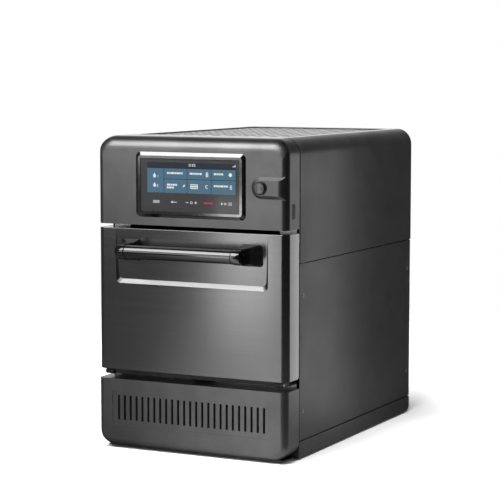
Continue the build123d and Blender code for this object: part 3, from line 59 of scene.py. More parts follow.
# Feet
# Four black rubber pads under the corners of the tray, moulded with a rounded rim, two grip
# rings and a hollow for the screw that holds each one up to the tray's floor.
mm = 0.001
feet_low, feet_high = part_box("feet")
foot_radius = 18 * mm
foot_height = feet_high.z
foot_screw_radius = 4 * mm
foot_ring_radii = [8 * mm, 12.5 * mm]
foot_ring_width = 1.6 * mm
foot_ring_depth = 0.5 * mm
rubber_dark = (0.012, 0.012, 0.012)
rubber_worn = (0.026, 0.025, 0.024)
noise_low = 0.3
noise_high = 0.7
sharp_angle = math.radians(35)


def new_finish(name, colour, metallic, roughness, shine=0.5):
    """A material with one colour, metalness, roughness and shine, ready for its grain."""
    finish = bpy.data.materials.new(name)
    finish.use_nodes = True
    shader = finish.node_tree.nodes["Principled BSDF"]
    shader.inputs["Base Color"].default_value = (*colour, 1)
    shader.inputs["Metallic"].default_value = metallic
    shader.inputs["Roughness"].default_value = roughness
    shader.inputs["Specular IOR Level"].default_value = shine
    return finish


def feed(tree, socket, value):
    """Links the socket to what another node gives, or sets it to a plain value."""
    if isinstance(value, bpy.types.NodeSocket):
        tree.links.new(value, socket)
    else:
        socket.default_value = value


def spread(tree, value, start, end, low=0, high=1):
    """Carries a value that runs from start to end over to the range from low to high."""
    reach = tree.nodes.new("ShaderNodeMapRange")
    feed(tree, reach.inputs["Value"], value)
    feed(tree, reach.inputs["From Min"], start)
    feed(tree, reach.inputs["From Max"], end)
    feed(tree, reach.inputs["To Min"], low)
    feed(tree, reach.inputs["To Max"], high)
    return reach.outputs["Result"]


def noise(finish, per_metre, stretch=(1, 1, 1), detail=2):
    """A cloudy pattern fixed to the piece. stretch makes it finer along X, Y or Z."""
    nodes, links = finish.node_tree.nodes, finish.node_tree.links
    place = nodes.new("ShaderNodeTexCoord")
    scale = nodes.new("ShaderNodeMapping")
    scale.inputs["Scale"].default_value = stretch
    cloud = nodes.new("ShaderNodeTexNoise")
    cloud.inputs["Scale"].default_value = per_metre
    cloud.inputs["Detail"].default_value = detail
    links.new(place.outputs["Object"], scale.inputs["Vector"])
    links.new(scale.outputs["Vector"], cloud.inputs["Vector"])
    return cloud.outputs["Fac"]


def vary_colour(finish, pattern, dark, light, low=0.35, high=0.65):
    """The pattern carries the colour from dark to light."""
    nodes, links = finish.node_tree.nodes, finish.node_tree.links
    ramp = nodes.new("ShaderNodeValToRGB")
    ramp.color_ramp.elements[0].position = low
    ramp.color_ramp.elements[0].color = (*dark, 1)
    ramp.color_ramp.elements[1].position = high
    ramp.color_ramp.elements[1].color = (*light, 1)
    links.new(pattern, ramp.inputs["Fac"])
    links.new(ramp.outputs["Color"], nodes["Principled BSDF"].inputs["Base Color"])


def vary_roughness(finish, pattern, low, high):
    """The pattern carries the roughness from low to high."""
    tree = finish.node_tree
    rough = tree.nodes["Principled BSDF"].inputs["Roughness"]
    tree.links.new(spread(tree, pattern, noise_low, noise_high, low, high), rough)


def emboss(finish, pattern, height):
    """The pattern lifts the surface by up to that height, over what lifts it already."""
    nodes, links = finish.node_tree.nodes, finish.node_tree.links
    lift = nodes.new("ShaderNodeBump")
    lift.inputs["Distance"].default_value = height
    normal = nodes["Principled BSDF"].inputs["Normal"]
    if normal.links:
        links.new(normal.links[0].from_socket, lift.inputs["Normal"])
    links.new(pattern, lift.inputs["Height"])
    links.new(lift.outputs["Normal"], normal)


def turn(form, profile, base, axis, steps=48):
    """Adds a turned shape to the mesh. The profile lists (radius, distance along the axis)."""
    along = Vector(axis).normalized()
    out = along.orthogonal().normalized()
    side = along.cross(out)
    rings = []
    for radius, distance in profile:
        middle = Vector(base) + along * distance
        if radius == 0:
            rings.append([form.verts.new(middle)])
            continue
        ring = []
        for step in range(steps):
            angle = 2 * math.pi * step / steps
            spoke = out * math.cos(angle) + side * math.sin(angle)
            ring.append(form.verts.new(middle + spoke * radius))
        rings.append(ring)
    for low, high in zip(rings, rings[1:]):
        for step in range(steps):
            after = (step + 1) % steps
            corners = [
                low[step % len(low)],
                low[after % len(low)],
                high[after % len(high)],
                high[step % len(high)],
            ]
            form.faces.new(list(dict.fromkeys(corners)))


def make_piece(name, form, finishes, body):
    """Turns the mesh into a piece of the oven that rides on a body."""
    bmesh.ops.recalc_face_normals(form, faces=form.faces)
    mesh = bpy.data.meshes.new(name)
    form.to_mesh(mesh)
    form.free()
    for finish in finishes:
        mesh.materials.append(finish)
    mesh.shade_smooth()
    mesh.set_sharp_from_angle(angle=sharp_angle)
    piece = bpy.data.objects.new(name, mesh)
    bpy.context.scene.collection.objects.link(piece)
    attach(piece, body)
    return piece


black_rubber = new_finish("black_rubber", rubber_dark, 0, 0.75)
vary_colour(black_rubber, noise(black_rubber, 60), rubber_dark, rubber_worn)
vary_roughness(black_rubber, noise(black_rubber, 140), 0.65, 0.85)
emboss(black_rubber, noise(black_rubber, 1500), 0.08 * mm)

foot_profile = [(0, foot_height / 2), (foot_screw_radius, foot_height / 2)]
foot_profile += [(foot_screw_radius, foot_ring_depth), (foot_screw_radius + foot_ring_depth, 0)]
for ring_radius in foot_ring_radii:
    foot_profile += [
        (ring_radius, 0),
        (ring_radius + foot_ring_depth / 2, foot_ring_depth),
        (ring_radius + foot_ring_width - foot_ring_depth / 2, foot_ring_depth),
        (ring_radius + foot_ring_width, 0),
    ]
foot_profile += [
    (foot_radius - 2 * foot_ring_depth, 0),
    (foot_radius - foot_ring_depth / 2, foot_ring_depth / 2),
    (foot_radius, 2 * foot_ring_depth),
    (foot_radius, foot_height),
    (0, foot_height),
]
feet_form = bmesh.new()
for foot_x in (feet_low.x + foot_radius, feet_high.x - foot_radius):
    for foot_y in (feet_low.y + foot_radius, feet_high.y - foot_radius):
        turn(feet_form, foot_profile, (foot_x, foot_y, 0), (0, 0, 1))
rubber_feet = make_piece("rubber_feet", feet_form, [black_rubber], "oven")
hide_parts("feet")

# Base tray and front frame
# Both are folded from steel sheet and welded together. The tray has the body's satin black
# powder coat. The frame round the door opening is bare steel, with painted shade, a black band
# along its outer edges and over the door, where the gaps round the door fall dark.
coat_deep = (0.010, 0.010, 0.0105)
coat_light = (0.016, 0.016, 0.0165)
coat_shine = 0.8
steel_dark = (0.36, 0.355, 0.345)
steel_light = (0.52, 0.515, 0.50)
frame_shade_x = 194 * mm
frame_shade_z = 412 * mm
frame_bare_x = 160 * mm
frame_shade_edge = 0.5 * mm
frame_painted_shade_tone = (0.002, 0.002, 0.002)


def powder_coat(name, deep, light, smooth, rough, metallic=0, shine=0.5):
    """A baked powder coat: slightly cloudy in tone and gloss, with a very fine orange peel."""
    finish = new_finish(name, deep, metallic, rough, shine)
    vary_colour(finish, noise(finish, 24), deep, light)
    vary_roughness(finish, noise(finish, 11), smooth, rough)
    emboss(finish, noise(finish, 900, detail=3), 0.05 * mm)
    return finish


def dress(node, finish):
    """Gives a CAD node its finish."""
    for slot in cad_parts[node].material_slots:
        slot.material = finish


def rolled_steel(name, dark, light, smooth, rough):
    """Cold-rolled stainless steel, with the faint lines of rolling and a cloudy sheen."""
    finish = new_finish(name, light, 1, rough)
    vary_colour(finish, noise(finish, 7, detail=4), dark, light)
    vary_roughness(finish, noise(finish, 30, (1, 12, 12), 3), smooth, rough)
    emboss(finish, noise(finish, 260, (1, 30, 30), 2), 0.012 * mm)
    return finish


def axes_of(tree, kind="Object"):
    """The place on the piece, as its X, Y and Z."""
    place = tree.nodes.new("ShaderNodeTexCoord")
    axes = tree.nodes.new("ShaderNodeSeparateXYZ")
    tree.links.new(place.outputs[kind], axes.inputs["Vector"])
    return axes.outputs


def calculate(tree, operation, *values):
    """Does one step of arithmetic with plain values or with what other nodes give."""
    step = tree.nodes.new("ShaderNodeMath")
    step.operation = operation
    for number, value in enumerate(values):
        feed(tree, step.inputs[number], value)
    return step.outputs["Value"]


def mix(tree, share, first, second, kind="FLOAT"):
    """The share carries the first value or colour over to the second."""
    blend = tree.nodes.new("ShaderNodeMix")
    blend.data_type = kind
    feed(tree, blend.inputs["Factor"], share)
    feed(tree, blend.inputs["A"], first)
    feed(tree, blend.inputs["B"], second)
    return blend.outputs["Result"]


def overpaint(finish, share, tone):
    """Gives the piece another tone where the share is 1."""
    tree = finish.node_tree
    colour = tree.nodes["Principled BSDF"].inputs["Base Color"]
    painted = mix(tree, share, colour.links[0].from_socket, (*tone, 1), "RGBA")
    tree.links.new(painted, colour)


body_coat = powder_coat("body_coat", coat_deep, coat_light, 0.34, 0.4, shine=coat_shine)
dress("base_tray", body_coat)
frame_steel = rolled_steel("frame_steel", steel_dark, steel_light, 0.22, 0.32)
# Painted shade: the frame is blackened along its outer edges and above the door.
frame_tree = frame_steel.node_tree
frame_axes = axes_of(frame_tree)
frame_across = calculate(frame_tree, "ABSOLUTE", frame_axes["X"])
frame_sides = spread(frame_tree, frame_across, frame_shade_x, frame_shade_x + frame_shade_edge)
frame_upper = spread(frame_tree, frame_axes["Z"], frame_shade_z, frame_shade_z + frame_shade_edge)
frame_inner = spread(frame_tree, frame_across, frame_bare_x, frame_bare_x - frame_shade_edge)
frame_top = calculate(frame_tree, "MULTIPLY", frame_upper, frame_inner)
frame_shade_band = calculate(frame_tree, "MAXIMUM", frame_sides, frame_top)
overpaint(frame_steel, frame_shade_band, frame_painted_shade_tone)
dress("front_frame", frame_steel)

# Cavity supports and electronics shelf
# Channels and a shelf folded from galvanised sheet, left bare inside the oven. The zinc shows
# its flat grey crystals.
zinc_dark = (0.30, 0.31, 0.32)
zinc_light = (0.52, 0.53, 0.54)
zinc_crystals_per_metre = 110


def crystals(finish, per_metre):
    """Flat patches of random tone, as zinc shows when it sets."""
    nodes, links = finish.node_tree.nodes, finish.node_tree.links
    place = nodes.new("ShaderNodeTexCoord")
    patches = nodes.new("ShaderNodeTexVoronoi")
    patches.inputs["Scale"].default_value = per_metre
    tone = nodes.new("ShaderNodeSeparateColor")
    links.new(place.outputs["Object"], patches.inputs["Vector"])
    links.new(patches.outputs["Color"], tone.inputs["Color"])
    return tone.outputs["Red"]


galvanised = new_finish("galvanised_sheet", zinc_dark, 0.9, 0.42)
zinc = crystals(galvanised, zinc_crystals_per_metre)
vary_colour(galvanised, zinc, zinc_dark, zinc_light, 0.1, 0.9)
vary_roughness(galvanised, zinc, 0.34, 0.5)
for node in ("cavity_supports", "electronics_shelf"):
    dress(node, galvanised)

# Microwave feed
# The waveguide is a riveted aluminium duct. The magnetron with its cooling fins blows into it
# from below, and a geared motor turns the stirring antenna through it.
aluminium_dark = (0.50, 0.50, 0.51)
aluminium_light = (0.66, 0.66, 0.67)
motor_dark = (0.10, 0.105, 0.11)
motor_light = (0.19, 0.195, 0.20)
aluminium = new_finish("mill_aluminium", aluminium_light, 1, 0.38)
aluminium_lines = noise(aluminium, 20, (1, 40, 40), 3)
vary_colour(aluminium, aluminium_lines, aluminium_dark, aluminium_light)
vary_roughness(aluminium, aluminium_lines, 0.3, 0.46)
motor_shell = new_finish("plated_motor_shell", motor_light, 0.8, 0.4)
vary_colour(motor_shell, noise(motor_shell, 40), motor_dark, motor_light)
vary_roughness(motor_shell, noise(motor_shell, 90), 0.32, 0.5)
for node in ("waveguide", "magnetron", "antenna", "antenna_well"):
    dress(node, aluminium)
for node in ("antenna_motor", "blower_motor"):
    dress(node, motor_shell)

# High voltage parts and mains filter
# The transformer is a stack of thin steel plates round two copper coils, the capacitor an oval
# aluminium can, and the filter a plated steel box with three blade terminals.
core_plates_per_metre = 420
core_dark = (0.035, 0.032, 0.030)
core_light = (0.13, 0.12, 0.11)
laminations = new_finish("stacked_plates", core_dark, 0.6, 0.5)
plate_lines = noise(laminations, core_plates_per_metre, (0.02, 1, 0.02), 0)
vary_colour(laminations, plate_lines, core_dark, core_light)
emboss(laminations, plate_lines, 0.3 * mm)
dress("hv_transformer", laminations)
for node in ("hv_capacitor", "emi_filter"):
    dress(node, aluminium)

# Cavity, blower housing and exhaust duct
# Spot-welded stainless steel with a cold-rolled satin face. The cavity's walls take a light
# straw tint and a few water marks from the heat.
straw_tint = (0.50, 0.44, 0.35)
lining_steel = rolled_steel("lining_steel", straw_tint, steel_light, 0.26, 0.38)
ducting_steel = rolled_steel("ducting_steel", steel_dark, steel_light, 0.3, 0.42)
for node in ("cavity", "upper_jet_plate"):
    dress(node, lining_steel)
for node in ("blower_housing", "exhaust_duct", "impeller"):
    dress(node, ducting_steel)

# Insulation
# A blanket of pale glass wool wrapped round the cavity and pressed between it and the side
# panels.
wool_dark = (0.50, 0.46, 0.34)
wool_light = (0.78, 0.75, 0.64)
glass_wool = new_finish("glass_wool", wool_light, 0, 0.95)
wool_fibres = noise(glass_wool, 160, (1, 1, 5), 5)
vary_colour(glass_wool, wool_fibres, wool_dark, wool_light)
emboss(glass_wool, wool_fibres, 2 * mm)
dress("insulation", glass_wool)

# Stone plate and rack
# The pressed cordierite stone lies on the cavity's floor over the antenna. The rack that stands
# on it is welded from steel wire and chromed.
stone_dark = (0.42, 0.35, 0.26)
stone_light = (0.66, 0.58, 0.46)
chrome_tone = (0.70, 0.70, 0.71)
cordierite = new_finish("cordierite_stone", stone_light, 0, 0.85)
vary_colour(cordierite, noise(cordierite, 220, detail=6), stone_dark, stone_light)
emboss(cordierite, noise(cordierite, 500, detail=4), 0.3 * mm)
dress("stone_plate", cordierite)
chrome = new_finish("chromed_wire", chrome_tone, 1, 0.14)
vary_roughness(chrome, noise(chrome, 120), 0.1, 0.2)
dress("rack", chrome)

# Heater and cooling fan
# The heater is a sheathed element bent round the hot air wheel, blued by its own heat. The fan
# behind the grille is moulded from black glass-filled plastic.
sheath_blue = (0.10, 0.10, 0.13)
sheath_brown = (0.20, 0.15, 0.11)
plastic_tone = (0.014, 0.014, 0.015)
plastic_worn = (0.022, 0.022, 0.023)
sheath = new_finish("heater_sheath", sheath_blue, 0.9, 0.45)
vary_colour(sheath, noise(sheath, 30), sheath_blue, sheath_brown)
vary_roughness(sheath, noise(sheath, 200), 0.38, 0.55)
dress("heater_coil", sheath)


def moulded_plastic(name, tone, worn, smooth, rough):
    """Black plastic from a finely sparked mould."""
    finish = new_finish(name, tone, 0, rough)
    vary_colour(finish, noise(finish, 45), tone, worn)
    vary_roughness(finish, noise(finish, 70), smooth, rough)
    emboss(finish, noise(finish, 1800), 0.03 * mm)
    return finish


black_plastic = moulded_plastic("black_plastic", plastic_tone, plastic_worn, 0.42, 0.55)
for node in ("cooling_fan_frame", "cooling_fan_rotor", "interlock_switches"):
    dress(node, black_plastic)

# Circuit boards
# Green glass-fibre boards stand on posts on the shelf and behind the display, with their relays
# and capacitors soldered in rows.
board_green = (0.012, 0.085, 0.035)
board_copper = (0.03, 0.16, 0.07)
circuit_board = new_finish("circuit_board", board_green, 0, 0.4)
vary_colour(circuit_board, noise(circuit_board, 300, (1, 0.15, 1), 1), board_green, board_copper)
for node in ("control_board", "power_board", "display_board"):
    dress(node, circuit_board)

# Side panels, top cover and rear panel
# Mild steel sheet with the body's powder coat. The cover wraps over the top and down both
# sides to the seam, and the side panels are screwed on under it.
cover_low, cover_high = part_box("top_cover")
seam_inset = 1.5 * mm
seam_height = 12 * mm
seam_x = cover_high.x - seam_inset
seam_low = cover_low.z
seam_high = seam_low + seam_height
shade_black = (0.0008, 0.0008, 0.0008)
top_reach = 0.6 * mm
top_edge = 0.4 * mm
top_z = cover_high.z - top_reach
cover_gloss = 0.1


def shade(finish, bounds):
    """Blackens the part of a piece that lies in the shade of a gap. Each bound names an axis, a
    comparison and the distance from the oven's zero point that it is made with."""
    tree = finish.node_tree
    axes = axes_of(tree)
    share = 1
    for axis, comparison, limit in bounds:
        within = calculate(tree, comparison, calculate(tree, "ABSOLUTE", axes[axis]), limit)
        share = calculate(tree, "MULTIPLY", within, share)
    overpaint(finish, share, shade_black)
    shine = tree.nodes["Principled BSDF"].inputs["Specular IOR Level"]
    tree.links.new(mix(tree, share, shine.default_value, 0), shine)


def gloss_above(finish, height, roughness):
    """Makes a piece smoother above a height, where it is wiped most."""
    tree = finish.node_tree
    above = spread(tree, axes_of(tree)["Z"], height, height + top_edge)
    rough = tree.nodes["Principled BSDF"].inputs["Roughness"]
    tree.links.new(mix(tree, above, rough.links[0].from_socket, roughness), rough)


cover_coat = powder_coat("cover_coat", coat_deep, coat_light, 0.34, 0.4, shine=coat_shine)
gloss_above(cover_coat, top_z, cover_gloss)
shade(
    cover_coat,
    [("X", "LESS_THAN", seam_x), ("Z", "GREATER_THAN", seam_low), ("Z", "LESS_THAN", seam_high)],
)
for node in ("side_panel_right", "side_panel_left", "top_cover"):
    dress(node, cover_coat)
dress("rear_panel", body_coat)

# Vent panel
# A punched sheet let into the cover's top, so that the warm air of the electronics rises out
# through rows of round holes.
vent_rim = 0.02 * mm
vent_coat = powder_coat("vent_coat", coat_deep, coat_light, 0.1, 0.14)
shade(vent_coat, [("Z", "LESS_THAN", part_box("top_vent_panel")[1].z - vent_rim)])
dress("top_vent_panel", vent_coat)

# Cable gland
# The mains cable's entry low in the rear panel: a black nylon gland with a domed cap nut
# outside and a thin lock nut inside.
dress("cable_gland", black_plastic)

# Panel screws
# Blackened pan-head screws with a six-sided socket hold the side panels to the front frame and
# to the rear panel.
screws_low, screws_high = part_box("panel_screws")
screw_head_radius = 4 * mm
screw_head_height = 1 * mm
screw_socket_radius = 1.6 * mm
screw_socket_depth = 0.7 * mm
screw_shank_radius = 2 * mm
screw_shank = 6 * mm
screw_tone = (0.3, 0.3, 0.302)
screw_rubbed = (0.6, 0.6, 0.605)
screw_steps = 24
screw_rim_shares = [(1, 0), (1, 0.4), (0.94, 0.72), (0.82, 0.93), (0.66, 1)]
blackened_screw = new_finish("blackened_screw", screw_tone, 0.9, 0.35)
vary_colour(blackened_screw, noise(blackened_screw, 600), screw_tone, screw_rubbed, 0.45, 0.75)
vary_roughness(blackened_screw, noise(blackened_screw, 400), 0.26, 0.42)


def add_socket_screw(form, seat, out):
    """Adds a pan head that stands on its seat and has a six-sided socket in its top."""
    rim = [(screw_head_radius * r, screw_head_height * h) for r, h in screw_rim_shares]
    turn(form, rim, seat, out, screw_steps)
    top = rim[-1][0]
    along = Vector(out).normalized()
    across = along.orthogonal().normalized()
    side = along.cross(across)
    edge, mouth, floor = [], [], []
    for step in range(screw_steps):
        angle = 2 * math.pi * step / screw_steps
        spoke = across * math.cos(angle) + side * math.sin(angle)
        flat = math.cos(math.pi / 6) / math.cos((angle % (math.pi / 3)) - math.pi / 6)
        face = Vector(seat) + along * screw_head_height
        edge.append(form.verts.new(face + spoke * top))
        mouth.append(form.verts.new(face + spoke * screw_socket_radius * flat))
        bottom = Vector(seat) + along * (screw_head_height - screw_socket_depth)
        floor.append(form.verts.new(bottom + spoke * screw_socket_radius * flat))
    for step in range(screw_steps):
        after = (step + 1) % screw_steps
        form.faces.new((edge[step], edge[after], mouth[after], mouth[step]))
        form.faces.new((mouth[step], mouth[after], floor[after], floor[step]))
    form.faces.new(floor)
    bmesh.ops.remove_doubles(form, verts=form.verts, dist=0.001 * mm)


shank_profile = [
    (screw_head_radius, 0),
    (screw_shank_radius, 0),
    (screw_shank_radius, screw_shank),
    (0, screw_shank),
]
screw_form = bmesh.new()
for side in (-1, 1):
    seat_x = side * (screws_high.x - screw_head_height)
    for screw_y in (screws_low.y + screw_head_radius, screws_high.y - screw_head_radius):
        for screw_z in (screws_low.z + screw_head_radius, screws_high.z - screw_head_radius):
            seat = (seat_x, screw_y, screw_z)
            add_socket_screw(screw_form, seat, (side, 0, 0))
            turn(screw_form, shank_profile, seat, (-side, 0, 0), screw_steps)
socket_screws = make_piece("socket_screws", screw_form, [blackened_screw], "oven")
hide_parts("panel_screws")

# Base fascia, filter frame and air filter
# The fascia is a pressed shell with a sunk panel of upright slots. Behind the slots a framed
# mat of black mesh keeps grease and dust out of the cooling air.
fascia_deep = (0.175, 0.175, 0.177)
fascia_light = (0.2, 0.2, 0.202)
filter_deep = (0.0008, 0.0008, 0.0008)
filter_thread = (0.003, 0.003, 0.003)
filter_pitch = 2.4 * mm
fascia_coat = powder_coat("fascia_coat", fascia_deep, fascia_light, 0.34, 0.38, 1)
dress("base_fascia", fascia_coat)
dress("filter_frame", black_plastic)


def woven_lines(finish, pitch):
    """Threads that run both ways across the front face, one every pitch."""
    tree = finish.node_tree
    place = tree.nodes.new("ShaderNodeTexCoord")
    both_ways = []
    for direction in ("X", "Z"):
        threads = tree.nodes.new("ShaderNodeTexWave")
        threads.bands_direction = direction
        threads.inputs["Scale"].default_value = math.pi / 10 / pitch
        tree.links.new(place.outputs["Object"], threads.inputs["Vector"])
        both_ways.append(threads.outputs["Fac"])
    return calculate(tree, "MAXIMUM", *both_ways)


filter_mesh = new_finish("filter_mesh", filter_deep, 0, 0.9, shine=0.1)
threads = woven_lines(filter_mesh, filter_pitch)
vary_colour(filter_mesh, threads, filter_deep, filter_thread, 0.7, 0.95)
emboss(filter_mesh, threads, 0.4 * mm)
dress("air_filter", filter_mesh)

# Door sill and hinges
# A black strip closes the gap under the door. Turned steel pins in black brackets carry the
# door at both of its ends.
hinge_deep = (0.004, 0.004, 0.004)
hinge_light = (0.008, 0.008, 0.008)
hinge_coat = powder_coat("hinge_coat", hinge_deep, hinge_light, 0.4, 0.5)
pin_steel = rolled_steel("pin_steel", steel_dark, steel_light, 0.2, 0.3)
for node in ("door_sill", "hinge_brackets", "hinge_arms"):
    dress(node, hinge_coat)
for node in ("hinge_pins", "latch_hooks"):
    dress(node, pin_steel)

# Door
# The skin is black stainless steel, brushed from side to side. Behind it lie the bright inner
# pan, the choke that holds the microwaves back, and the heat-proof gasket.
door_deep = (0.18, 0.18, 0.182)
door_light = (0.215, 0.215, 0.217)


def brushed_black(name, deep, light, smooth, rough, per_metre=30):
    """Black stainless steel with long fine brush lines from side to side."""
    finish = new_finish(name, light, 1, rough)
    nodes, links = finish.node_tree.nodes, finish.node_tree.links
    lines = noise(finish, per_metre, (0.12, 60, 60), 3)
    vary_colour(finish, lines, deep, light)
    vary_roughness(finish, lines, smooth, rough)
    emboss(finish, noise(finish, 60, (0.2, 60, 60), 2), 0.0015 * mm)
    shader = nodes["Principled BSDF"]
    shader.inputs["Anisotropic"].default_value = 0.6
    shader.inputs["Anisotropic Rotation"].default_value = 0.25
    around = nodes.new("ShaderNodeTangent")
    around.direction_type = "RADIAL"
    around.axis = "Z"
    links.new(around.outputs["Tangent"], shader.inputs["Tangent"])
    return finish


door_steel = brushed_black("door_steel", door_deep, door_light, 0.19, 0.23)
dress("door_skin", door_steel)
dress("door_inner_pan", rolled_steel("pan_steel", steel_dark, steel_light, 0.2, 0.32))
dress("door_choke", black_plastic)
dress("door_gasket", black_rubber)

# Handle
# A black tube with a turned ferrule at each end, carried by two cast black brackets that are
# screwed through the door's recess.
bar_low, bar_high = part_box("handle_bar")
ferrule_low, ferrule_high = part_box("handle_ferrules")
bar_middle = (bar_low + bar_high) / 2
bar_radius = (bar_high.z - bar_low.z) / 2
bar_half = bar_high.x
ferrule_radius = (ferrule_high.z - ferrule_low.z) / 2
ferrule_end = ferrule_high.x
ferrule_groove = 1.6 * mm
ferrule_groove_depth = 1.4 * mm
ferrule_round = 1.2 * mm
end_dish_radius = 9 * mm
end_dish_depth = 0.8 * mm
handle_deep = (0.10, 0.10, 0.102)
handle_light = (0.13, 0.13, 0.132)
bracket_deep = (0.003, 0.003, 0.003)
bracket_light = (0.006, 0.006, 0.006)
handle_satin = new_finish("handle_satin", handle_light, 1, 0.2)
handle_lines = noise(handle_satin, 30, (0.15, 60, 60), 3)
vary_colour(handle_satin, handle_lines, handle_deep, handle_light)
vary_roughness(handle_satin, handle_lines, 0.08, 0.12)
bar_form = bmesh.new()
bar_profile = [(0, -bar_half), (bar_radius, -bar_half), (bar_radius, bar_half), (0, bar_half)]
turn(bar_form, bar_profile, bar_middle, (1, 0, 0), 96)
bar_piece = make_piece("handle_tube", bar_form, [handle_satin], "door")
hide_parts("handle_bar")
ferrule_form = bmesh.new()
ferrule_profile = [
    (0, bar_half),
    (bar_radius - ferrule_groove_depth, bar_half),
    (bar_radius - ferrule_groove_depth, bar_half + ferrule_groove),
    (ferrule_radius - ferrule_round / 3, bar_half + ferrule_groove),
    (ferrule_radius, bar_half + ferrule_groove + ferrule_round / 3),
    (ferrule_radius, ferrule_end - ferrule_round),
    (ferrule_radius - ferrule_round * 0.3, ferrule_end - ferrule_round * 0.3),
    (ferrule_radius - ferrule_round, ferrule_end),
    (end_dish_radius, ferrule_end),
    (end_dish_radius - end_dish_depth, ferrule_end - end_dish_depth),
    (0, ferrule_end - end_dish_depth),
]
for side in (-1, 1):
    turn(ferrule_form, ferrule_profile, (0, bar_middle.y, bar_middle.z), (side, 0, 0), 96)
ferrules = make_piece("turned_ferrules", ferrule_form, [handle_satin], "door")
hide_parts("handle_ferrules")
bracket_coat = powder_coat("bracket_coat", bracket_deep, bracket_light, 0.3, 0.4, shine=0.15)
dress("handle_brackets", bracket_coat)
dress("handle_screws", blackened_screw)

# Control fascia and port cover
# The fascia is pressed with a raised pad that runs round the right edge under the power button.
# A soft plug closes the service port in its right flank.
fascia_gloss = 0.12
gloss_above(fascia_coat, top_z, fascia_gloss)
dress("control_fascia", fascia_coat)
dress("port_cover", black_plastic)

# Display
# A glossy black frame holds the dark cover glass, bonded over a lit panel that shows the tiles
# of the stored programmes. The row of touch keys below is printed on the glass.
glass_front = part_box("display_glass")[0].y
layer = 0.03 * mm
screen_y = glass_front - layer
tile_y = screen_y - layer
mark_y = tile_y - layer
card_line_y = mark_y - layer
bezel_tone = (0.18, 0.18, 0.182)
bezel_dusty = (0.2, 0.2, 0.202)
glass_tone = (0.025, 0.025, 0.026)
header_glow = (0.008, 0.014, 0.028)
tile_glow = (0.066, 0.152, 0.226)
mark_glow = (0.80, 0.86, 0.88)
key_white = (0.66, 0.66, 0.66)
key_red = (0.52, 0.03, 0.08)
screen_black = (0.01, 0.01, 0.01)
header, tile, mark, white_key, red_key = range(5)
screen_left, screen_right = -90 * mm, 97 * mm
screen_low, screen_high = 494.5 * mm, 551.5 * mm
tile_high = 540 * mm
tile_split = 520.5 * mm
tile_edges = [-90 * mm, -54 * mm, -4.7 * mm, 45.9 * mm, 97 * mm]
tile_gap = 1 * mm
clock_left, clock_low, clock_height = -3 * mm, 545 * mm, 4 * mm
signal_left, signal_low, signal_width = 90 * mm, 545.6 * mm, 1.5 * mm
signal_pitch, signal_first, signal_rise = 2.2 * mm, 547 * mm, 1.2 * mm
drop_x, drop_heights = -74.5 * mm, [525.5 * mm, 508 * mm]
drop_radius, drop_tip = 3.1 * mm, 6 * mm
drop_shoulder_x, drop_shoulder_z = 2.7 * mm, 1.5 * mm
figure_right, figure_below, figure_height = 5.4 * mm, 2.6 * mm, 4 * mm
letter_height = 3.4 * mm
card_left, card_right, card_low, card_high = 1.8 * mm, 17.4 * mm, 503.2 * mm, 511.8 * mm
card_margin, card_line_heights, card_line_thick = 1.6 * mm, [509.4 * mm, 505.6 * mm], 1.7 * mm
knob_x, knob_z, knob_radius, knob_hole = 36.7 * mm, 532.6 * mm, 2.4 * mm, 1 * mm
bulb_z, bulb_radius, bulb_hole = 528.6 * mm, 2.8 * mm, 1.2 * mm
moon_x, moon_z, moon_radius, moon_hole = 36.4 * mm, 507.7 * mm, 3.4 * mm, 2 * mm
disc_x, disc_z, disc_radius = 85.2 * mm, 531 * mm, 3.5 * mm
shelf_left, shelf_right, shelf_thick = 84 * mm, 88.6 * mm, 1.5 * mm
shelf_heights = [504.6 * mm, 507.4 * mm, 510.2 * mm]
leaf_outline = [(-14.6, 505.4), (-10, 507.4), (-9.6, 511), (-13, 509.6)]
key_z = 477.5 * mm
key_line = 0.7 * mm
key_half = 2.6 * mm
menu_left, menu_right, menu_pitch, menu_half = -78 * mm, -64 * mm, 1.9 * mm, 0.55 * mm
back_tip, back_head, back_left, back_right = -40.5 * mm, -35.6 * mm, -36 * mm, -27 * mm
minus_left, minus_right = -8 * mm, -2.6 * mm
dial_x, dial_hole = 3.8 * mm, 1.5 * mm
plus_left, plus_right, plus_half = 10.2 * mm, 15.6 * mm, 2.7 * mm
stop_left, stop_right, stop_half = 30 * mm, 49 * mm, 1.5 * mm
forward_lefts, forward_length = [66 * mm, 73 * mm], 5 * mm
seconds_left, seconds_below, seconds_height = 81 * mm, 2.3 * mm, 4.6 * mm
bezel_gloss = new_finish("bezel_gloss", bezel_tone, 1, 0.12)
vary_colour(bezel_gloss, noise(bezel_gloss, 40), bezel_tone, bezel_dusty)
vary_roughness(bezel_gloss, noise(bezel_gloss, 60), 0.1, 0.16)
cover_glass = new_finish("cover_glass", glass_tone, 0, 0.08, shine=0.3)
vary_roughness(cover_glass, noise(cover_glass, 25, detail=4), 0.06, 0.12)
dress("display_bezel", bezel_gloss)
dress("display_glass", cover_glass)
dress("lcd_panel", black_plastic)


def lit(name, glow, dim):
    """What shines through the cover glass: a glow that varies a little, under the glass's gloss."""
    finish = new_finish(name, screen_black, 0, 0.1, shine=0.15)
    tree = finish.node_tree
    shader = tree.nodes["Principled BSDF"]
    shader.inputs["Emission Color"].default_value = (*glow, 1)
    glimmer = spread(tree, noise(finish, 500, detail=3), noise_low, noise_high, dim)
    tree.links.new(glimmer, shader.inputs["Emission Strength"])
    vary_roughness(finish, noise(finish, 25, detail=4), 0.06, 0.12)
    return finish


def add_patch(form, outline, y, kind):
    """Adds a flat patch with the outline's X and Z places. kind numbers its finish."""
    patch = form.faces.new([form.verts.new((x, y, z)) for x, z in outline])
    patch.material_index = kind


def add_box(form, left, right, low, high, y, kind):
    add_patch(form, [(left, low), (right, low), (right, high), (left, high)], y, kind)


